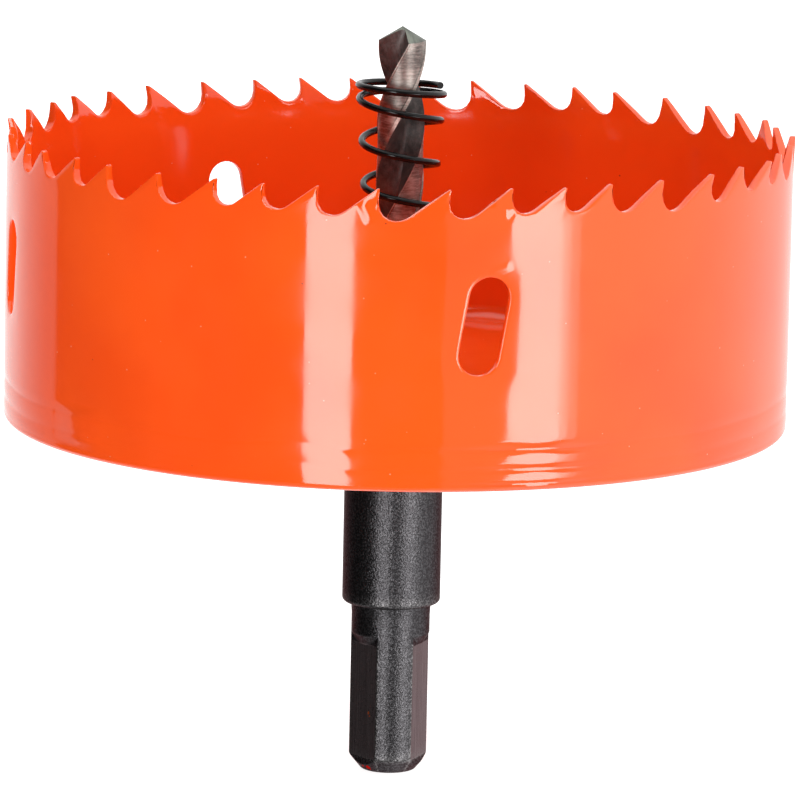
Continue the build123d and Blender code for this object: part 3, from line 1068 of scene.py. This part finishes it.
@dataclass
class BackPlate(Piece):
    """The thick disc in the foot of the band, with the hollow bead that joins them inside."""

    node: str = "back_plate"
    slot: Slot = Slot.CUP_PAINT
    radius: float = 48.4
    bottom: float = 45.3
    top: float = 50.5
    bore: float = 5.05
    bead: float = 1.95
    swell: Waves = ((31, 0.05, 0), (47, 0.05, 80), (13, 0.06, 40))

    def build(self) -> bpy.types.Object:
        """Turns the disc and its bead."""
        inner = self.radius - self.bead
        hollow = [
            (inner + self.bead * sin(angle), self.top + self.bead * (1 - cos(angle))) for angle in QUARTER
        ]
        corners = [
            (self.bore, self.bottom, 0.3),
            (self.radius - 0.25, self.bottom, 0.0),
            (self.radius, self.bottom + 0.25, 0.0),
            *[(r, z, 0.0) for r, z in reversed(hollow)],
            (self.bore, self.top, 0.3),
        ]
        outline = spaced(rounded(corners, 3), lambda r, z: 2.5 if r < 46 else 0.6)

        def uneven(radius: np.ndarray, azimuth: np.ndarray, height: np.ndarray) -> tuple[np.ndarray, ...]:
            """Makes the bead a little uneven round the disc."""
            raised = height > self.top + 0.01
            on_bead = raised | ((height > self.top - 0.01) & (radius > self.radius - 2 * self.bead))
            swell = noise_ring(azimuth, self.swell) * on_bead * smooth_step(self.radius - radius, 0.0, 0.5)
            return radius - swell, azimuth, height + swell * 0.7 * raised

        piece = lathe("plate", outline, even_columns(288), uneven)
        smooth(piece)
        return piece


@dataclass
class Arbor(Piece):
    """The turned arbor: flatted shank, collar and threaded nose, bored for the drill."""

    node: str = "arbor"
    slot: Slot = Slot.BLACK_OXIDE
    shank: float = 5.0
    neck: float = 5.1
    collar: float = 6.25
    nose: float = 5.0
    shank_top: float = 21.8
    rim: float = 45.3
    nose_top: float = 62.3
    bore: float = 3.05
    bore_bottom: float = 24.6
    flat: float = 4.2
    flat_top: float = 16.6
    runout: float = 1.3
    flat_azimuth: float = SHANK_FLAT
    edge_columns: tuple[float, ...] = (-2.2, -1.1, -0.4, 0.1, 0.6, 1.3, 2.4)
    chamfer_top: float = 1.9
    chamfer_rows: float = 3.4  # rows are close together up to here,
    runout_rows: tuple[float, float] = (15.9, 18.4)  # where the flats run out,
    thread_rows: float = 57.0  # and from here up
    thread_foot: float = 57.5
    thread_pitch: float = 1.5
    thread_depth: float = 0.85
    screw_azimuth: float = SCREW_AZIMUTH
    screw_height: float = SCREW_HEIGHT
    screw_hole: float = 2.05

    def columns(self) -> list[float]:
        """Azimuths of the columns, gathered at the edges of the flats."""
        edge = np.degrees(np.arccos(self.flat / self.shank))
        side = [*range(0, 29, 4), *(edge + shift for shift in self.edge_columns), 39, 43, 47, 51.5, 56]
        third = sorted({*side, *[-value for value in side[1:]], 60.0})
        return [self.flat_azimuth + 120 * index + value for index in range(3) for value in third]

    def shape(self, radius: np.ndarray, azimuth: np.ndarray, height: np.ndarray) -> tuple[np.ndarray, ...]:
        """Cuts the flats and the thread into the turned outline.

        Args:
            radius: Radius of each vertex.
            azimuth: Azimuth of each vertex.
            height: Height of each vertex.

        Returns:
            The new radius, azimuth and height.
        """
        away = np.radians(wrapped(azimuth, self.flat_azimuth, 120))
        flat = self.flat / np.cos(away)
        cone = self.flat + (self.shank - self.flat) * (height - self.flat_top) / self.runout
        limit = np.maximum(flat, cone)
        on_shank = (height < self.shank_top - 0.1) & (radius > self.flat * 0.4)
        cut = soft_min(radius, np.where(height > self.flat_top + self.runout + 0.3, 99.0, limit), 0.07)
        shaped = np.where(on_shank, cut, radius)
        turns = (height / self.thread_pitch - azimuth / 360) % 1
        groove = self.thread_depth * np.clip(1 - np.abs(turns - 0.5) / 0.42, 0, 1)
        on_thread = (height > self.thread_foot) & (radius > self.nose - 0.6)
        fade = smooth_step(height, self.thread_foot, self.thread_foot + 0.7)
        shaped = np.where(on_thread, np.minimum(shaped, self.nose) - groove * fade, shaped)
        return shaped, azimuth, height

    def build(self) -> bpy.types.Object:
        """Turns the arbor, cuts its flats and drills the screw's hole."""
        corners = [
            (0, 0, 0),
            (3.4, 0, 0.7),
            (self.shank, self.chamfer_top, 0.7),
            (self.shank, self.shank_top - 1.5, 0.5),
            (self.neck, self.shank_top, 0.25),
            (self.collar, self.shank_top, 0.95),
            (self.collar, self.rim, 0.3),
            (self.nose, self.rim, 0.0),
            (self.nose, self.nose_top, 0.45),
            (self.bore, self.nose_top, 0.3),
            (self.bore, self.bore_bottom, 0.0),
            (0, self.bore_bottom - 0.9, 0.0),
        ]

        def step_at(r: float, z: float) -> float:
            """Row spacing: fine at both ends of the flats and on the thread."""
            if r > 4 and (self.runout_rows[0] < z < self.runout_rows[1] or z < self.chamfer_rows):
                return 0.07
            if r > 4.5 and z > self.thread_rows:
                return 0.11
            return 1.2

        stops = [(self.shank, z) for z in self.runout_rows] + [(self.nose, self.thread_rows + 0.3)]
        turned, points = rounded(corners, 6), []
        for (r0, z0), (r1, z1) in zip(turned, turned[1:] + [(0.0, 0.0)]):
            points.append((r0, z0))
            points += [(r, z) for r, z in stops if abs(r0 - r) < 0.01 and abs(r1 - r) < 0.01 and z0 < z < z1]
        piece = lathe("arbor_body", spaced(points, step_at), self.columns(), self.shape)

        way = outwards(self.screw_azimuth)
        bpy.ops.object.select_all(action="DESELECT")
        bpy.ops.mesh.primitive_cylinder_add(vertices=48, radius=self.screw_hole, depth=2 * self.collar)
        hole = bpy.context.object
        at = Matrix.Translation(way * self.collar + Vector((0, 0, self.screw_height)))
        hole.data.transform(at @ way.to_track_quat("Z", "Y").to_matrix().to_4x4())
        cut_away(piece, hole)
        close_up(piece, 1e-4)
        self.mark_wear(piece)
        smooth(piece, 28)
        return piece

    def mark_wear(self, piece: bpy.types.Object) -> None:
        """Marks the ground flats and the rubbed edges for the finish.

        Args:
            piece: The turned arbor.
        """
        points = points_of(piece)
        z, radius = points[:, 2], np.hypot(points[:, 0], points[:, 1])
        azimuth = np.degrees(np.arctan2(points[:, 0], -points[:, 1]))
        away = np.abs(wrapped(azimuth, self.flat_azimuth, 120))
        edge = np.degrees(np.arccos(self.flat / self.shank))
        on_flat = (z < self.flat_top + 0.1) & (z > self.chamfer_top) & (radius > 1)
        mark(piece, "ground", on_flat * (1 - smooth_step(away, edge - 1.4, edge - 0.2)))
        flat_edge = np.exp(-(((away - edge) / 1.5) ** 2)) * (z < self.flat_top + 0.4) * (radius > 3)
        collar = np.exp(-(((z - self.shank_top - 0.5) / 0.35) ** 2)) * (radius > 5.7)
        chamfer = np.exp(-(((z - self.chamfer_top - 0.05) / 0.28) ** 2)) * (radius > 4.1)
        mark(piece, "edge", np.clip(0.8 * flat_edge + 0.35 * collar + 0.5 * chamfer, 0, 1))


@dataclass
class SpringWasher(Piece):
    """Split ring under the nut, with a slanted gap."""

    node: str = "spring_washer"
    slot: Slot = Slot.BLACK_OXIDE
    inner: float = 5.05
    outer: float = 7.5
    bottom: float = 50.5
    top: float = 52.7
    gap: float = 1.0
    slant: float = 20.0
    corner: float = 0.25

    def build(self) -> bpy.types.Object:
        """Turns the ring and opens it at the gap."""
        corners = [
            (self.inner, self.bottom, self.corner),
            (self.outer, self.bottom, self.corner),
            (self.outer, self.top, self.corner),
            (self.inner, self.top, self.corner),
        ]
        outline = spaced(rounded(corners, 3), lambda r, z: 1.4)
        count = 120

        def open_gap(radius: np.ndarray, azimuth: np.ndarray, height: np.ndarray) -> tuple[np.ndarray, ...]:
            """Draws the columns back from the slanted gap."""
            shift = -tan(radians(self.slant)) * (height - (self.bottom + self.top) / 2)
            half = self.gap / 2 / cos(radians(self.slant))
            start = np.degrees(np.arcsin((shift + half) / radius))
            end = 360 + np.degrees(np.arcsin((shift - half) / radius))
            share = azimuth / (360 * (count - 1) / count)
            return radius, start + (end - start) * share, height

        piece = lathe("spring_washer_ring", outline, even_columns(count), open_gap)
        self.close_gap(piece)
        smooth(piece)
        return piece

    def close_gap(self, piece: bpy.types.Object) -> None:
        """Takes out the faces that bridge the gap and caps the two ends.

        Args:
            piece: The turned ring.
        """
        x, y, z = points_of(piece).T
        right = x > -tan(radians(self.slant)) * (z - (self.bottom + self.top) / 2)
        near = (y < 0) & (np.abs(x) < 1.1 * self.gap)
        across = [
            near[list(face.vertices)].all() and len(set(right[list(face.vertices)])) == 2
            for face in piece.data.polygons
        ]
        with editing(piece, "FACE", np.array(across)):
            bpy.ops.mesh.delete(type="ONLY_FACE")
        self.cap_loops(piece)
        close_up(piece)

    @staticmethod
    def cap_loops(piece: bpy.types.Object) -> None:
        """Removes loose edges and fills each open loop with a flat face.

        Args:
            piece: The ring, open at its gap.
        """
        with editing(piece, "EDGE"):
            bpy.ops.mesh.select_all(action="SELECT")
            bpy.ops.mesh.delete_loose(use_verts=True, use_edges=True, use_faces=False)
            bpy.ops.mesh.select_all(action="SELECT")
            bpy.ops.mesh.fill_holes(sides=0)


@dataclass
class LockNut(Piece):
    """Hexagon nut that clamps the cup, chamfered on its upper face."""

    node: str = "lock_nut"
    slot: Slot = Slot.BLACK_OXIDE
    flat: float = 7.0
    turn: float = 18.0
    bottom: float = 52.7
    top: float = 60.7
    bore: float = 5.05
    slope: float = 30.0
    cone_rows: float = 58.0  # rows are close together from here up

    def build(self) -> bpy.types.Object:
        """Turns the nut's body and brings it to the hexagon."""
        corner = self.flat / cos(pi / 6)
        corners = [
            (self.bore, self.bottom, 0.2),
            (corner, self.bottom, 0.15),
            (corner, self.top, 0.0),
            (self.flat - 0.15, self.top, 0.0),
            (self.bore + 0.6, self.top, 0.0),
            (self.bore, self.top - 0.6, 0.0),
        ]

        def step_at(r: float, z: float) -> float:
            """Row spacing: fine on the cone of the upper face."""
            return 0.13 if r > self.flat and z > self.cone_rows else 0.5

        outline = spaced(rounded(corners, 3), step_at)
        side = [0, 6, 12, 18, 23, 26.5, 28.4, 29.3, 30]
        sixth = sorted({*side, *[-value for value in side[1:-1]]})
        middle = 120 + self.turn
        columns = [middle + 60 * index + value for index in range(6) for value in sixth]

        def hexagon(radius: np.ndarray, azimuth: np.ndarray, height: np.ndarray) -> tuple[np.ndarray, ...]:
            """Brings the outside to the hexagon under its cone."""
            away = np.radians(wrapped(azimuth, middle, 60))
            cone = self.flat + (self.top - height) / tan(radians(self.slope))
            limit = soft_min(self.flat / np.cos(away), cone, 0.12)
            cut = np.minimum(soft_min(radius, limit, 0.05), limit)
            return np.where(radius > self.flat - 0.3, cut, radius), azimuth, height

        piece = lathe("nut", outline, columns, hexagon)
        smooth(piece, 25)
        return piece


@dataclass
class GrubScrew(Piece):
    """Socket screw that holds the drill."""

    node: str = "grub_screw"
    slot: Slot = Slot.BLACK_OXIDE
    radius: float = 2.0
    seat: float = 2.15
    end: float = 6.15
    socket: float = 1.0
    socket_depth: float = 1.8
    chamfer: float = 0.4
    pitch: float = 0.7
    thread_depth: float = 0.36
    azimuth: float = SCREW_AZIMUTH
    height: float = SCREW_HEIGHT

    def build(self) -> bpy.types.Object:
        """Turns the screw about its own axis and sets it into the collar."""
        floor = self.end - self.socket_depth
        corners = [
            (0, self.seat),
            (self.radius - 0.35, self.seat),
            (self.radius, self.seat + 0.35),
            (self.radius, self.end - self.chamfer),
            (self.radius - self.chamfer, self.end),
            (self.socket + 0.25, self.end),
            (self.socket, self.end - 0.12),
            (self.socket, floor),
            (0, floor - 0.25),
        ]
        outline = spaced(corners, lambda r, z: 0.09 if r > 1.7 else 0.4)

        def cut(radius: np.ndarray, azimuth: np.ndarray, height: np.ndarray) -> tuple[np.ndarray, ...]:
            """Cuts the thread outside and the hexagon of the socket."""
            turns = (height / self.pitch - azimuth / 360) % 1
            groove = self.thread_depth * np.clip(1 - np.abs(turns - 0.5) / 0.42, 0, 1)
            thread = (radius > self.radius - 0.02) & (height < self.end - self.chamfer - 0.01)
            hexagon = self.socket / np.cos(np.radians(wrapped(azimuth, 0.0, 60)))
            shaped = np.where(thread, radius - groove, radius)
            return np.where(np.abs(radius - self.socket) < 0.01, hexagon, shaped), azimuth, height

        piece = lathe("set_screw", outline, even_columns(72), cut)
        turn = outwards(self.azimuth).to_track_quat("Z", "Y").to_matrix().to_4x4()
        piece.data.transform(Matrix.Translation((0, 0, self.height)) @ turn)
        smooth(piece)
        return piece


@dataclass
class PilotDrill(Piece):
    """Twist drill with two flutes, narrow margins and a point ground to a cone."""

    node: str = "pilot_drill"
    slot: Slot = Slot.DRILL_STEEL
    radius: float = 3.0
    body: float = 2.9
    margin_angle: float = 179.4
    foot: float = 25.6
    tip: float = 95.6
    flute_foot: float = 59.6
    lead: float = 35.0
    web: float = 0.55
    heel: float = 1.75
    point: float = 118.0
    relief: float = 0.03
    lip_azimuth: float = 94.1
    seat_azimuth: float = SCREW_AZIMUTH
    seat_height: float = SCREW_HEIGHT
    seat_half: float = 3.5
    seat: float = 2.15
    flute_angles: tuple[float, ...] = (
        *(11.0, 11.8, 13.0, 15, 18, 22, 27, 33, 39, 45, 52, 60, 68, 76, 84, 92, 99, 105, 109.5, 112.3),
    )
    land_angles: tuple[float, ...] = (
        *(114.2, 115.6, 122, 130, 138, 146, 154, 162, 170, 176.5, 179.0, 180.6, 183, 186.5, 189.5, 190.3),
    )

    def section(self, local: np.ndarray) -> np.ndarray:
        """Radius of the fluted section.

        Args:
            local: Angles from a lip, in degrees.

        Returns:
            The radius at each angle.
        """
        away = np.radians(local % 180)
        centre = (self.web, self.web + self.heel)
        along = centre[0] * np.cos(away) + centre[1] * np.sin(away)
        inside = along**2 - (centre[0] ** 2 + centre[1] ** 2 - self.heel**2)
        hollow = along - np.sqrt(np.maximum(inside, 0))
        straight = self.web / np.maximum(np.sin(away), 1e-6)
        back = (self.heel - self.web) / np.maximum(-np.cos(away), 1e-6)
        on_back = hollow * np.sin(away) > self.web + self.heel
        past = (inside <= 0) | on_back | (away > radians(108))
        cut = np.where(away < pi / 4, straight, np.where(past, back, hollow))
        heel_edge = np.degrees(np.arccos((self.web - self.heel) / self.radius))
        cut = np.where(local % 180 > heel_edge, 2 * self.radius, cut)
        cleared = (local % 180 > heel_edge) & (local % 180 < self.margin_angle)
        return np.minimum(cut, np.where(cleared, self.body, self.radius))

    def shape(self, radius: np.ndarray, azimuth: np.ndarray, height: np.ndarray) -> tuple[np.ndarray, ...]:
        """Cuts the flutes, twists them and grinds the point and the screw's seat.

        Args:
            radius: Radius of each vertex.
            azimuth: Angle of each vertex from a lip.
            height: Height of each vertex.

        Returns:
            The new radius, azimuth and height.
        """
        fluted = self.section(azimuth)
        share = smooth_step(height, self.flute_foot, self.flute_foot + 2.4)
        shaped = np.where(radius > 1, self.radius + (fluted - self.radius) * share, radius)
        behind = (self.land_angles[-1] - azimuth) % 180
        behind = np.radians(np.minimum(behind, (180 - behind) * 1.25))
        cap = height > self.tip - 0.001
        shaped = np.where(cap, fluted * radius / self.radius, shaped)
        cone = self.tip - shaped / tan(radians(self.point / 2)) - self.relief * shaped * behind
        height = np.where(height > self.tip - 5, np.minimum(height, cone), height)
        turned = azimuth + self.lip_azimuth + 360 * (height - self.tip) / self.lead
        away = np.cos(np.radians(turned - self.seat_azimuth))
        on_seat = (np.abs(height - self.seat_height) < self.seat_half) & (away > 0.3) & (radius > 1)
        seat = np.minimum(shaped, self.seat / np.maximum(away, 0.3))
        return np.where(on_seat, seat, shaped), turned, height

    def build(self) -> bpy.types.Object:
        """Turns the bar, cuts the flutes and grinds the point."""
        side = self.radius
        seat_low, seat_high = self.seat_height - self.seat_half, self.seat_height + self.seat_half
        corners = [(0.0, self.foot), (side - 0.4, self.foot), (side, self.foot + 0.4)]
        corners += [(side, z + step) for z in (seat_low, seat_high) for step in (-0.01, 0.01)]
        corners += [(side, self.flute_foot - 0.6), (side, self.tip), (0.0, self.tip)]
        outline = spaced(corners, lambda r, z: 3.0 if z < self.flute_foot - 0.6 else 0.33)
        half = list(self.flute_angles) + list(self.land_angles)
        piece = lathe("drill", outline, half + [angle + 180 for angle in half], self.shape)
        close_up(piece, 1e-4)
        smooth(piece, 30)
        return piece

    def dress(self, piece: bpy.types.Object, finishes: dict[str, bpy.types.Material]) -> None:
        """Gives the flutes, the lands, the point and the margins their own finishes.

        Args:
            piece: The drill, in metres.
            finishes: Every finish, by name.
        """
        piece.data.materials.clear()
        for name in ("drill_flute", "drill_land", "drill_point", "drill_margin"):
            piece.data.materials.append(finishes[name])
        for face in piece.data.polygons:
            centre = face.center / MM
            reach = sqrt(centre.x**2 + centre.y**2)
            if face.normal.z > 0.5 and centre.z > self.tip - 4:
                face.material_index = 2
            elif reach > self.radius - 0.05:
                face.material_index = 3
            elif reach > self.body - 0.06:
                face.material_index = 1
            else:
                face.material_index = 0


@dataclass
class EjectorSpring(Piece):
    """Coil spring round the drill that pushes the cut disc out."""

    node: str = "ejector_spring"
    slot: Slot = Slot.SPRING_WIRE
    wire: float = 0.45
    top_radius: float = 5.425
    foot_radius: float = 4.3
    pitch: float = 5.5
    closed_pitch: float = 0.97
    closed_turns: float = 1.0
    opening_turns: float = 0.7
    top: float = 88.2
    foot: float = 62.75
    end_azimuth: float = 103.0
    cock: float = 0.4
    cock_azimuth: float = -55.0
    points_per_turn: int = 60

    def opening(self, turns: float) -> float:
        """Turns at full pitch gained this many turns past a closed end coil.

        Args:
            turns: Turns past the end coil, below zero inside it.

        Returns:
            The turns gained.
        """
        if turns <= 0:
            return 0.0
        if turns < self.opening_turns:
            return turns**2 / (2 * self.opening_turns)
        return turns - self.opening_turns / 2

    def coil_point(self, turns: float, turn_count: float) -> Vector:
        """Middle of the wire at one place of the coil.

        Args:
            turns: Turns down from the cut end at the top.
            turn_count: Turns in the whole coil.

        Returns:
            The place.
        """
        opened = self.pitch - self.closed_pitch
        rise_total = self.top - self.foot
        foot_start = turn_count - self.closed_turns - self.opening_turns
        drop = self.closed_pitch * turns
        drop += opened * (self.opening(turns - self.closed_turns) - self.opening(turns - foot_start))
        radius = self.foot_radius + (self.top_radius - self.foot_radius) * (1 - drop / rise_total) ** 2
        azimuth = self.end_azimuth + 360 * turns
        settled = min(max((turns - self.closed_turns) / self.opening_turns, 0), 1)
        cock = self.cock * (1 - settled) * cos(radians(azimuth - self.cock_azimuth))
        return outwards(azimuth) * radius + Vector((0, 0, self.top - drop + cock))

    def build(self) -> bpy.types.Object:
        """Winds the coil as a curve with a round section and makes it a mesh."""
        opened = self.pitch - self.closed_pitch
        closed_rise = opened * (2 * self.closed_turns + self.opening_turns)
        turn_count = (self.top - self.foot + closed_rise) / self.pitch
        steps = round(turn_count * self.points_per_turn)
        bpy.ops.object.select_all(action="DESELECT")
        bpy.ops.curve.primitive_nurbs_path_add()
        piece = bpy.context.object
        piece.name = piece.data.name = "spring_coil"
        piece.data.splines.clear()
        coil = piece.data.splines.new("POLY")
        coil.points.add(steps)
        for index in range(steps + 1):
            coil.points[index].co = (*self.coil_point(turn_count * index / steps, turn_count), 1)
        piece.data.dimensions = "3D"
        piece.data.twist_mode = "MINIMUM"
        piece.data.bevel_depth = self.wire
        piece.data.bevel_resolution = 4
        piece.data.use_fill_caps = True
        bpy.ops.object.convert(target="MESH")
        piece = bpy.context.object
        piece.data.name = "spring_coil"
        close_up(piece, 1e-4)
        smooth(piece, 50)
        return piece


# ---- Studio -------------------------------------------------------------------------


@dataclass
class Softbox:
    """Tall strip light that faces the saw."""

    name: str
    azimuth_from: float
    azimuth_to: float
    elevation_from: float
    elevation_to: float
    radiance: float
    distance: float = 1.6

    def build(self, middle: Vector, facing: float) -> bpy.types.Object:
        """Hangs the light.

        Args:
            middle: Centre of the cup, in metres.
            facing: Azimuth of the camera, from which the light's azimuths are counted.

        Returns:
            The light.
        """
        azimuth = facing + (self.azimuth_from + self.azimuth_to) / 2
        width = 2 * self.distance * tan(radians(self.azimuth_to - self.azimuth_from) / 2)
        low = self.distance * tan(radians(self.elevation_from))
        high = self.distance * tan(radians(self.elevation_to))
        bpy.ops.object.select_all(action="DESELECT")
        bpy.ops.object.light_add(type="AREA")
        light = bpy.context.object
        light.name = self.name
        light.data.shape, light.data.size, light.data.size_y = "RECTANGLE", width, high - low
        light.data.energy = self.radiance * pi * width * (high - low)
        light.visible_camera = False
        level = outwards(azimuth)
        at = Matrix.Translation(middle + level * self.distance + Vector((0, 0, (low + high) / 2)))
        light.matrix_world = at @ level.to_track_quat("Z", "Y").to_matrix().to_4x4()
        return light


@dataclass
class Studio:
    """Floor, surroundings, lights and camera."""

    camera_azimuth: float = 348.0
    distance: float = 957.9
    elevation: float = 10.18
    aim: Place = (0.62, 0.0, 47.8)
    roll: float = 1.19
    focal: float = 339.75
    sensor: float = 36.0
    dark: float = 0.045  # brightness in front of the saw,
    pale: float = 0.5  # and just right of the middle
    ceiling: float = 1.9
    walls: tuple[tuple[float, float, float], ...] = (  # azimuths of start and full, brightness added
        (50, 56, 0.85),
        (-117.3, -118.8, 0.5),
        (-122.0, -152.0, 0.65),
        (125, 155, -0.3),
    )
    under: float = 0.45
    cup_middle: Place = (0, 0, 0.064)
    softboxes: list[Softbox] = field(
        default_factory=lambda: [
            Softbox("left_softbox", -25.9, -11.9, -27, 20, 9.2),
            Softbox("right_softbox", 32.2, 47.8, -22, 4, 9.2),
            Softbox("right_softbox_rim", 47.8, 50.2, -22, 4, 5.6),
            Softbox("right_softbox_edge", 50.2, 53.2, -22, 4, 2.2),
        ]
    )

    def build(self) -> None:
        """Sets up the whole studio."""
        self.build_floor()
        self.build_world()
        self.build_camera()
        for softbox in self.softboxes:
            softbox.build(Vector(self.cup_middle), self.camera_azimuth)

    def build_floor(self) -> None:
        """Lays the pale floor that the saw stands on."""
        bpy.ops.object.select_all(action="DESELECT")
        bpy.ops.mesh.primitive_circle_add(vertices=96, radius=6, fill_type="NGON")
        floor = bpy.context.object
        floor.name = "floor"
        material = bpy.data.materials.new("pale_floor")
        material.use_nodes = True
        sheet = Sheet(material.node_tree)
        seen = sheet.node("LightPath").outputs["Is Camera Ray"]
        mottle = sheet.span(sheet.noise(sheet.place(), 30.0), 0.3, 0.7, 0.56, 0.6)
        grey = sheet.node("CombineColor", None, {0: mottle, 1: mottle, 2: mottle}).outputs[0]
        board = sheet.node("BsdfDiffuse", None, {"Color": grey})
        strength = sheet.math("MULTIPLY", seen, 0.9)
        glow = sheet.node("Emission", None, {"Color": (1, 1, 1, 1), "Strength": strength})
        both = sheet.node("AddShader", None, {0: board.outputs[0], 1: glow.outputs[0]})
        sheet.node("OutputMaterial", None, {"Surface": both.outputs[0]})
        floor.data.materials.append(material)
        floor.visible_glossy = False
        floor.visible_shadow = False

    def build_world(self) -> None:
        """Surrounds the saw: pale to the right and behind, dim in front and white to the camera."""
        world = bpy.data.worlds.new("studio_walls")
        bpy.context.scene.world = world
        world.use_nodes = True
        sheet = Sheet(world.node_tree)
        way = {"Vector": sheet.node("TexCoord").outputs["Generated"], "Angle": -radians(self.camera_azimuth)}
        turned = sheet.node("VectorRotate", {"rotation_type": "Z_AXIS"}, way).outputs[0]
        parts = sheet.node("SeparateXYZ", None, {0: turned}).outputs
        around = sheet.math("ARCTAN2", parts["X"], sheet.math("MULTIPLY", parts["Y"], -1.0))
        level = sheet.span(around, radians(13.5), radians(14.5), self.dark, self.pale)
        for start, full, added in self.walls:
            level = sheet.math("ADD", level, sheet.span(around, radians(start), radians(full), 0, added))
        level = sheet.math("ADD", level, sheet.span(parts["Z"], -0.42, -0.6, 0, self.under))
        level = sheet.math("MAXIMUM", level, sheet.span(parts["Z"], 0.66, 0.9, 0, self.ceiling))
        level = sheet.math("MAXIMUM", level, sheet.node("LightPath").outputs["Is Camera Ray"])
        back = sheet.node("Background", None, {"Color": (1, 1, 1, 1), "Strength": level})
        sheet.node("OutputWorld", None, {"Surface": back.outputs[0]})

    def build_camera(self) -> None:
        """Places the camera and aims it."""
        tilt, roll = radians(self.elevation), radians(self.roll)
        aim = Vector(self.aim)
        place = aim + Vector((0, -self.distance * cos(tilt), self.distance * sin(tilt)))
        ahead = (aim - place).normalized()
        right = ahead.cross(Vector((0, 0, 1))).normalized()
        up = right.cross(ahead)
        right, up = right * cos(roll) + up * sin(roll), up * cos(roll) - right * sin(roll)
        turn = Matrix.Rotation(radians(self.camera_azimuth), 4, "Z")
        pose = Matrix((right, up, -ahead)).transposed().to_4x4()
        pose.translation = place * MM
        bpy.ops.object.camera_add()
        camera = bpy.context.object
        camera.name = "camera"
        camera.matrix_world = turn @ pose
        camera.data.lens = self.focal
        camera.data.sensor_width = self.sensor
        camera.data.clip_start, camera.data.clip_end = 0.05, 50
        bpy.context.scene.camera = camera


@dataclass
class HoleSaw:
    """The whole saw: every piece and every finish."""

    pieces: list[Piece] = field(
        default_factory=lambda: [
            SawBand(),
            BackPlate(),
            Arbor(),
            SpringWasher(),
            LockNut(),
            GrubScrew(),
            PilotDrill(),
            EjectorSpring(),
        ]
    )

    @staticmethod
    def spot(azimuth: float, height: float, radius: float = CUP_RADIUS) -> Place:
        """Place on the cup's wall or at another radius, in metres."""
        return tuple((outwards(azimuth) * radius + Vector((0, 0, height))) * MM)

    @staticmethod
    def towards(azimuth: float, height: float, end_azimuth: float, end_height: float) -> Place:
        """Unit vector along the cup's wall from one place on it to another.

        Args:
            azimuth: Azimuth of the first place.
            height: Height of the first place.
            end_azimuth: Azimuth of the second place.
            end_height: Height of the second place.

        Returns:
            The vector.
        """
        start = outwards(azimuth) * CUP_RADIUS + Vector((0, 0, height))
        end = outwards(end_azimuth) * CUP_RADIUS + Vector((0, 0, end_height))
        return tuple((end - start).normalized())

    def finishes(self) -> dict[str, bpy.types.Material]:
        """Makes every finish of the saw, by name."""
        effects = Effects()
        orange, red = (0.9, 0.2, 0.05, 1), (0.45, 0.02, 0.015, 1)
        flecks = (
            Fleck(self.spot(312.0, 7.9, 4.37), 0.2e-3, 2.6, orange),
            Fleck(self.spot(314.5, 7.5, 4.42), 0.12e-3, 2.6, orange),
            Fleck(self.spot(310.0, 0.6, 4.0), 0.34e-3, 3.4, red),
            Fleck(self.spot(297.0, 0.8, 3.9), 0.22e-3, 3.4, red),
        )
        runs = (
            PaintRun(self.spot(343.7, 79.4), self.towards(343.0, 80.9, 344.6, 78.0), 1.1e-3, 1.7e-3, 52.0),
            PaintRun(self.spot(297.0, 49.2), (0, 0, 1), 6e-3, 3e-3, 190.0),
            PaintRun(self.spot(2.4, 80.2), self.towards(1.2, 80.9, 3.8, 78.9), 1.1e-3, 1.8e-3, 44.0),
            PaintRun(self.spot(2.6, 72.6), self.towards(1.2, 72.4, 4.2, 73.4), 0.8e-3, 1.6e-3, 26.0),
        )
        finishes = (
            CupPaint("cup_paint", runs=runs),
            BlackOxide("black_oxide", flecks=flecks),
            SpringWire("spring_wire"),
            DrillSteel("drill_land"),
            DrillSteel("drill_margin", dark=(0.2, 0.18, 0.16, 1), light=(0.6, 0.55, 0.5, 1)),
            DrillSteel(
                "drill_flute",
                dark=(0.03, 0.026, 0.025, 1),
                light=(0.12, 0.104, 0.098, 1),
                stretch=(1500, 1500, 900),
                metal=0.35,
                rough=(0.34, 0.5),
            ),
            DrillSteel(
                "drill_point",
                dark=(0.06, 0.064, 0.056, 1),
                light=(0.22, 0.235, 0.2, 1),
                stretch=(2600, 300, 300),
                rough=(0.3, 0.5),
            ),
        )
        return {finish.name: finish.material(effects) for finish in finishes}

    def build(self) -> None:
        """Builds and dresses every piece in order."""
        finishes = self.finishes()
        for piece in self.pieces:
            piece.install(finishes)


def main() -> None:
    """Builds the saw and the studio round it."""
    logging.basicConfig(level=logging.INFO, format="%(message)s")
    bpy.context.scene.view_settings.view_transform = "Standard"
    HoleSaw().build()
    Studio().build()


if __name__ == "__main__":
    main()
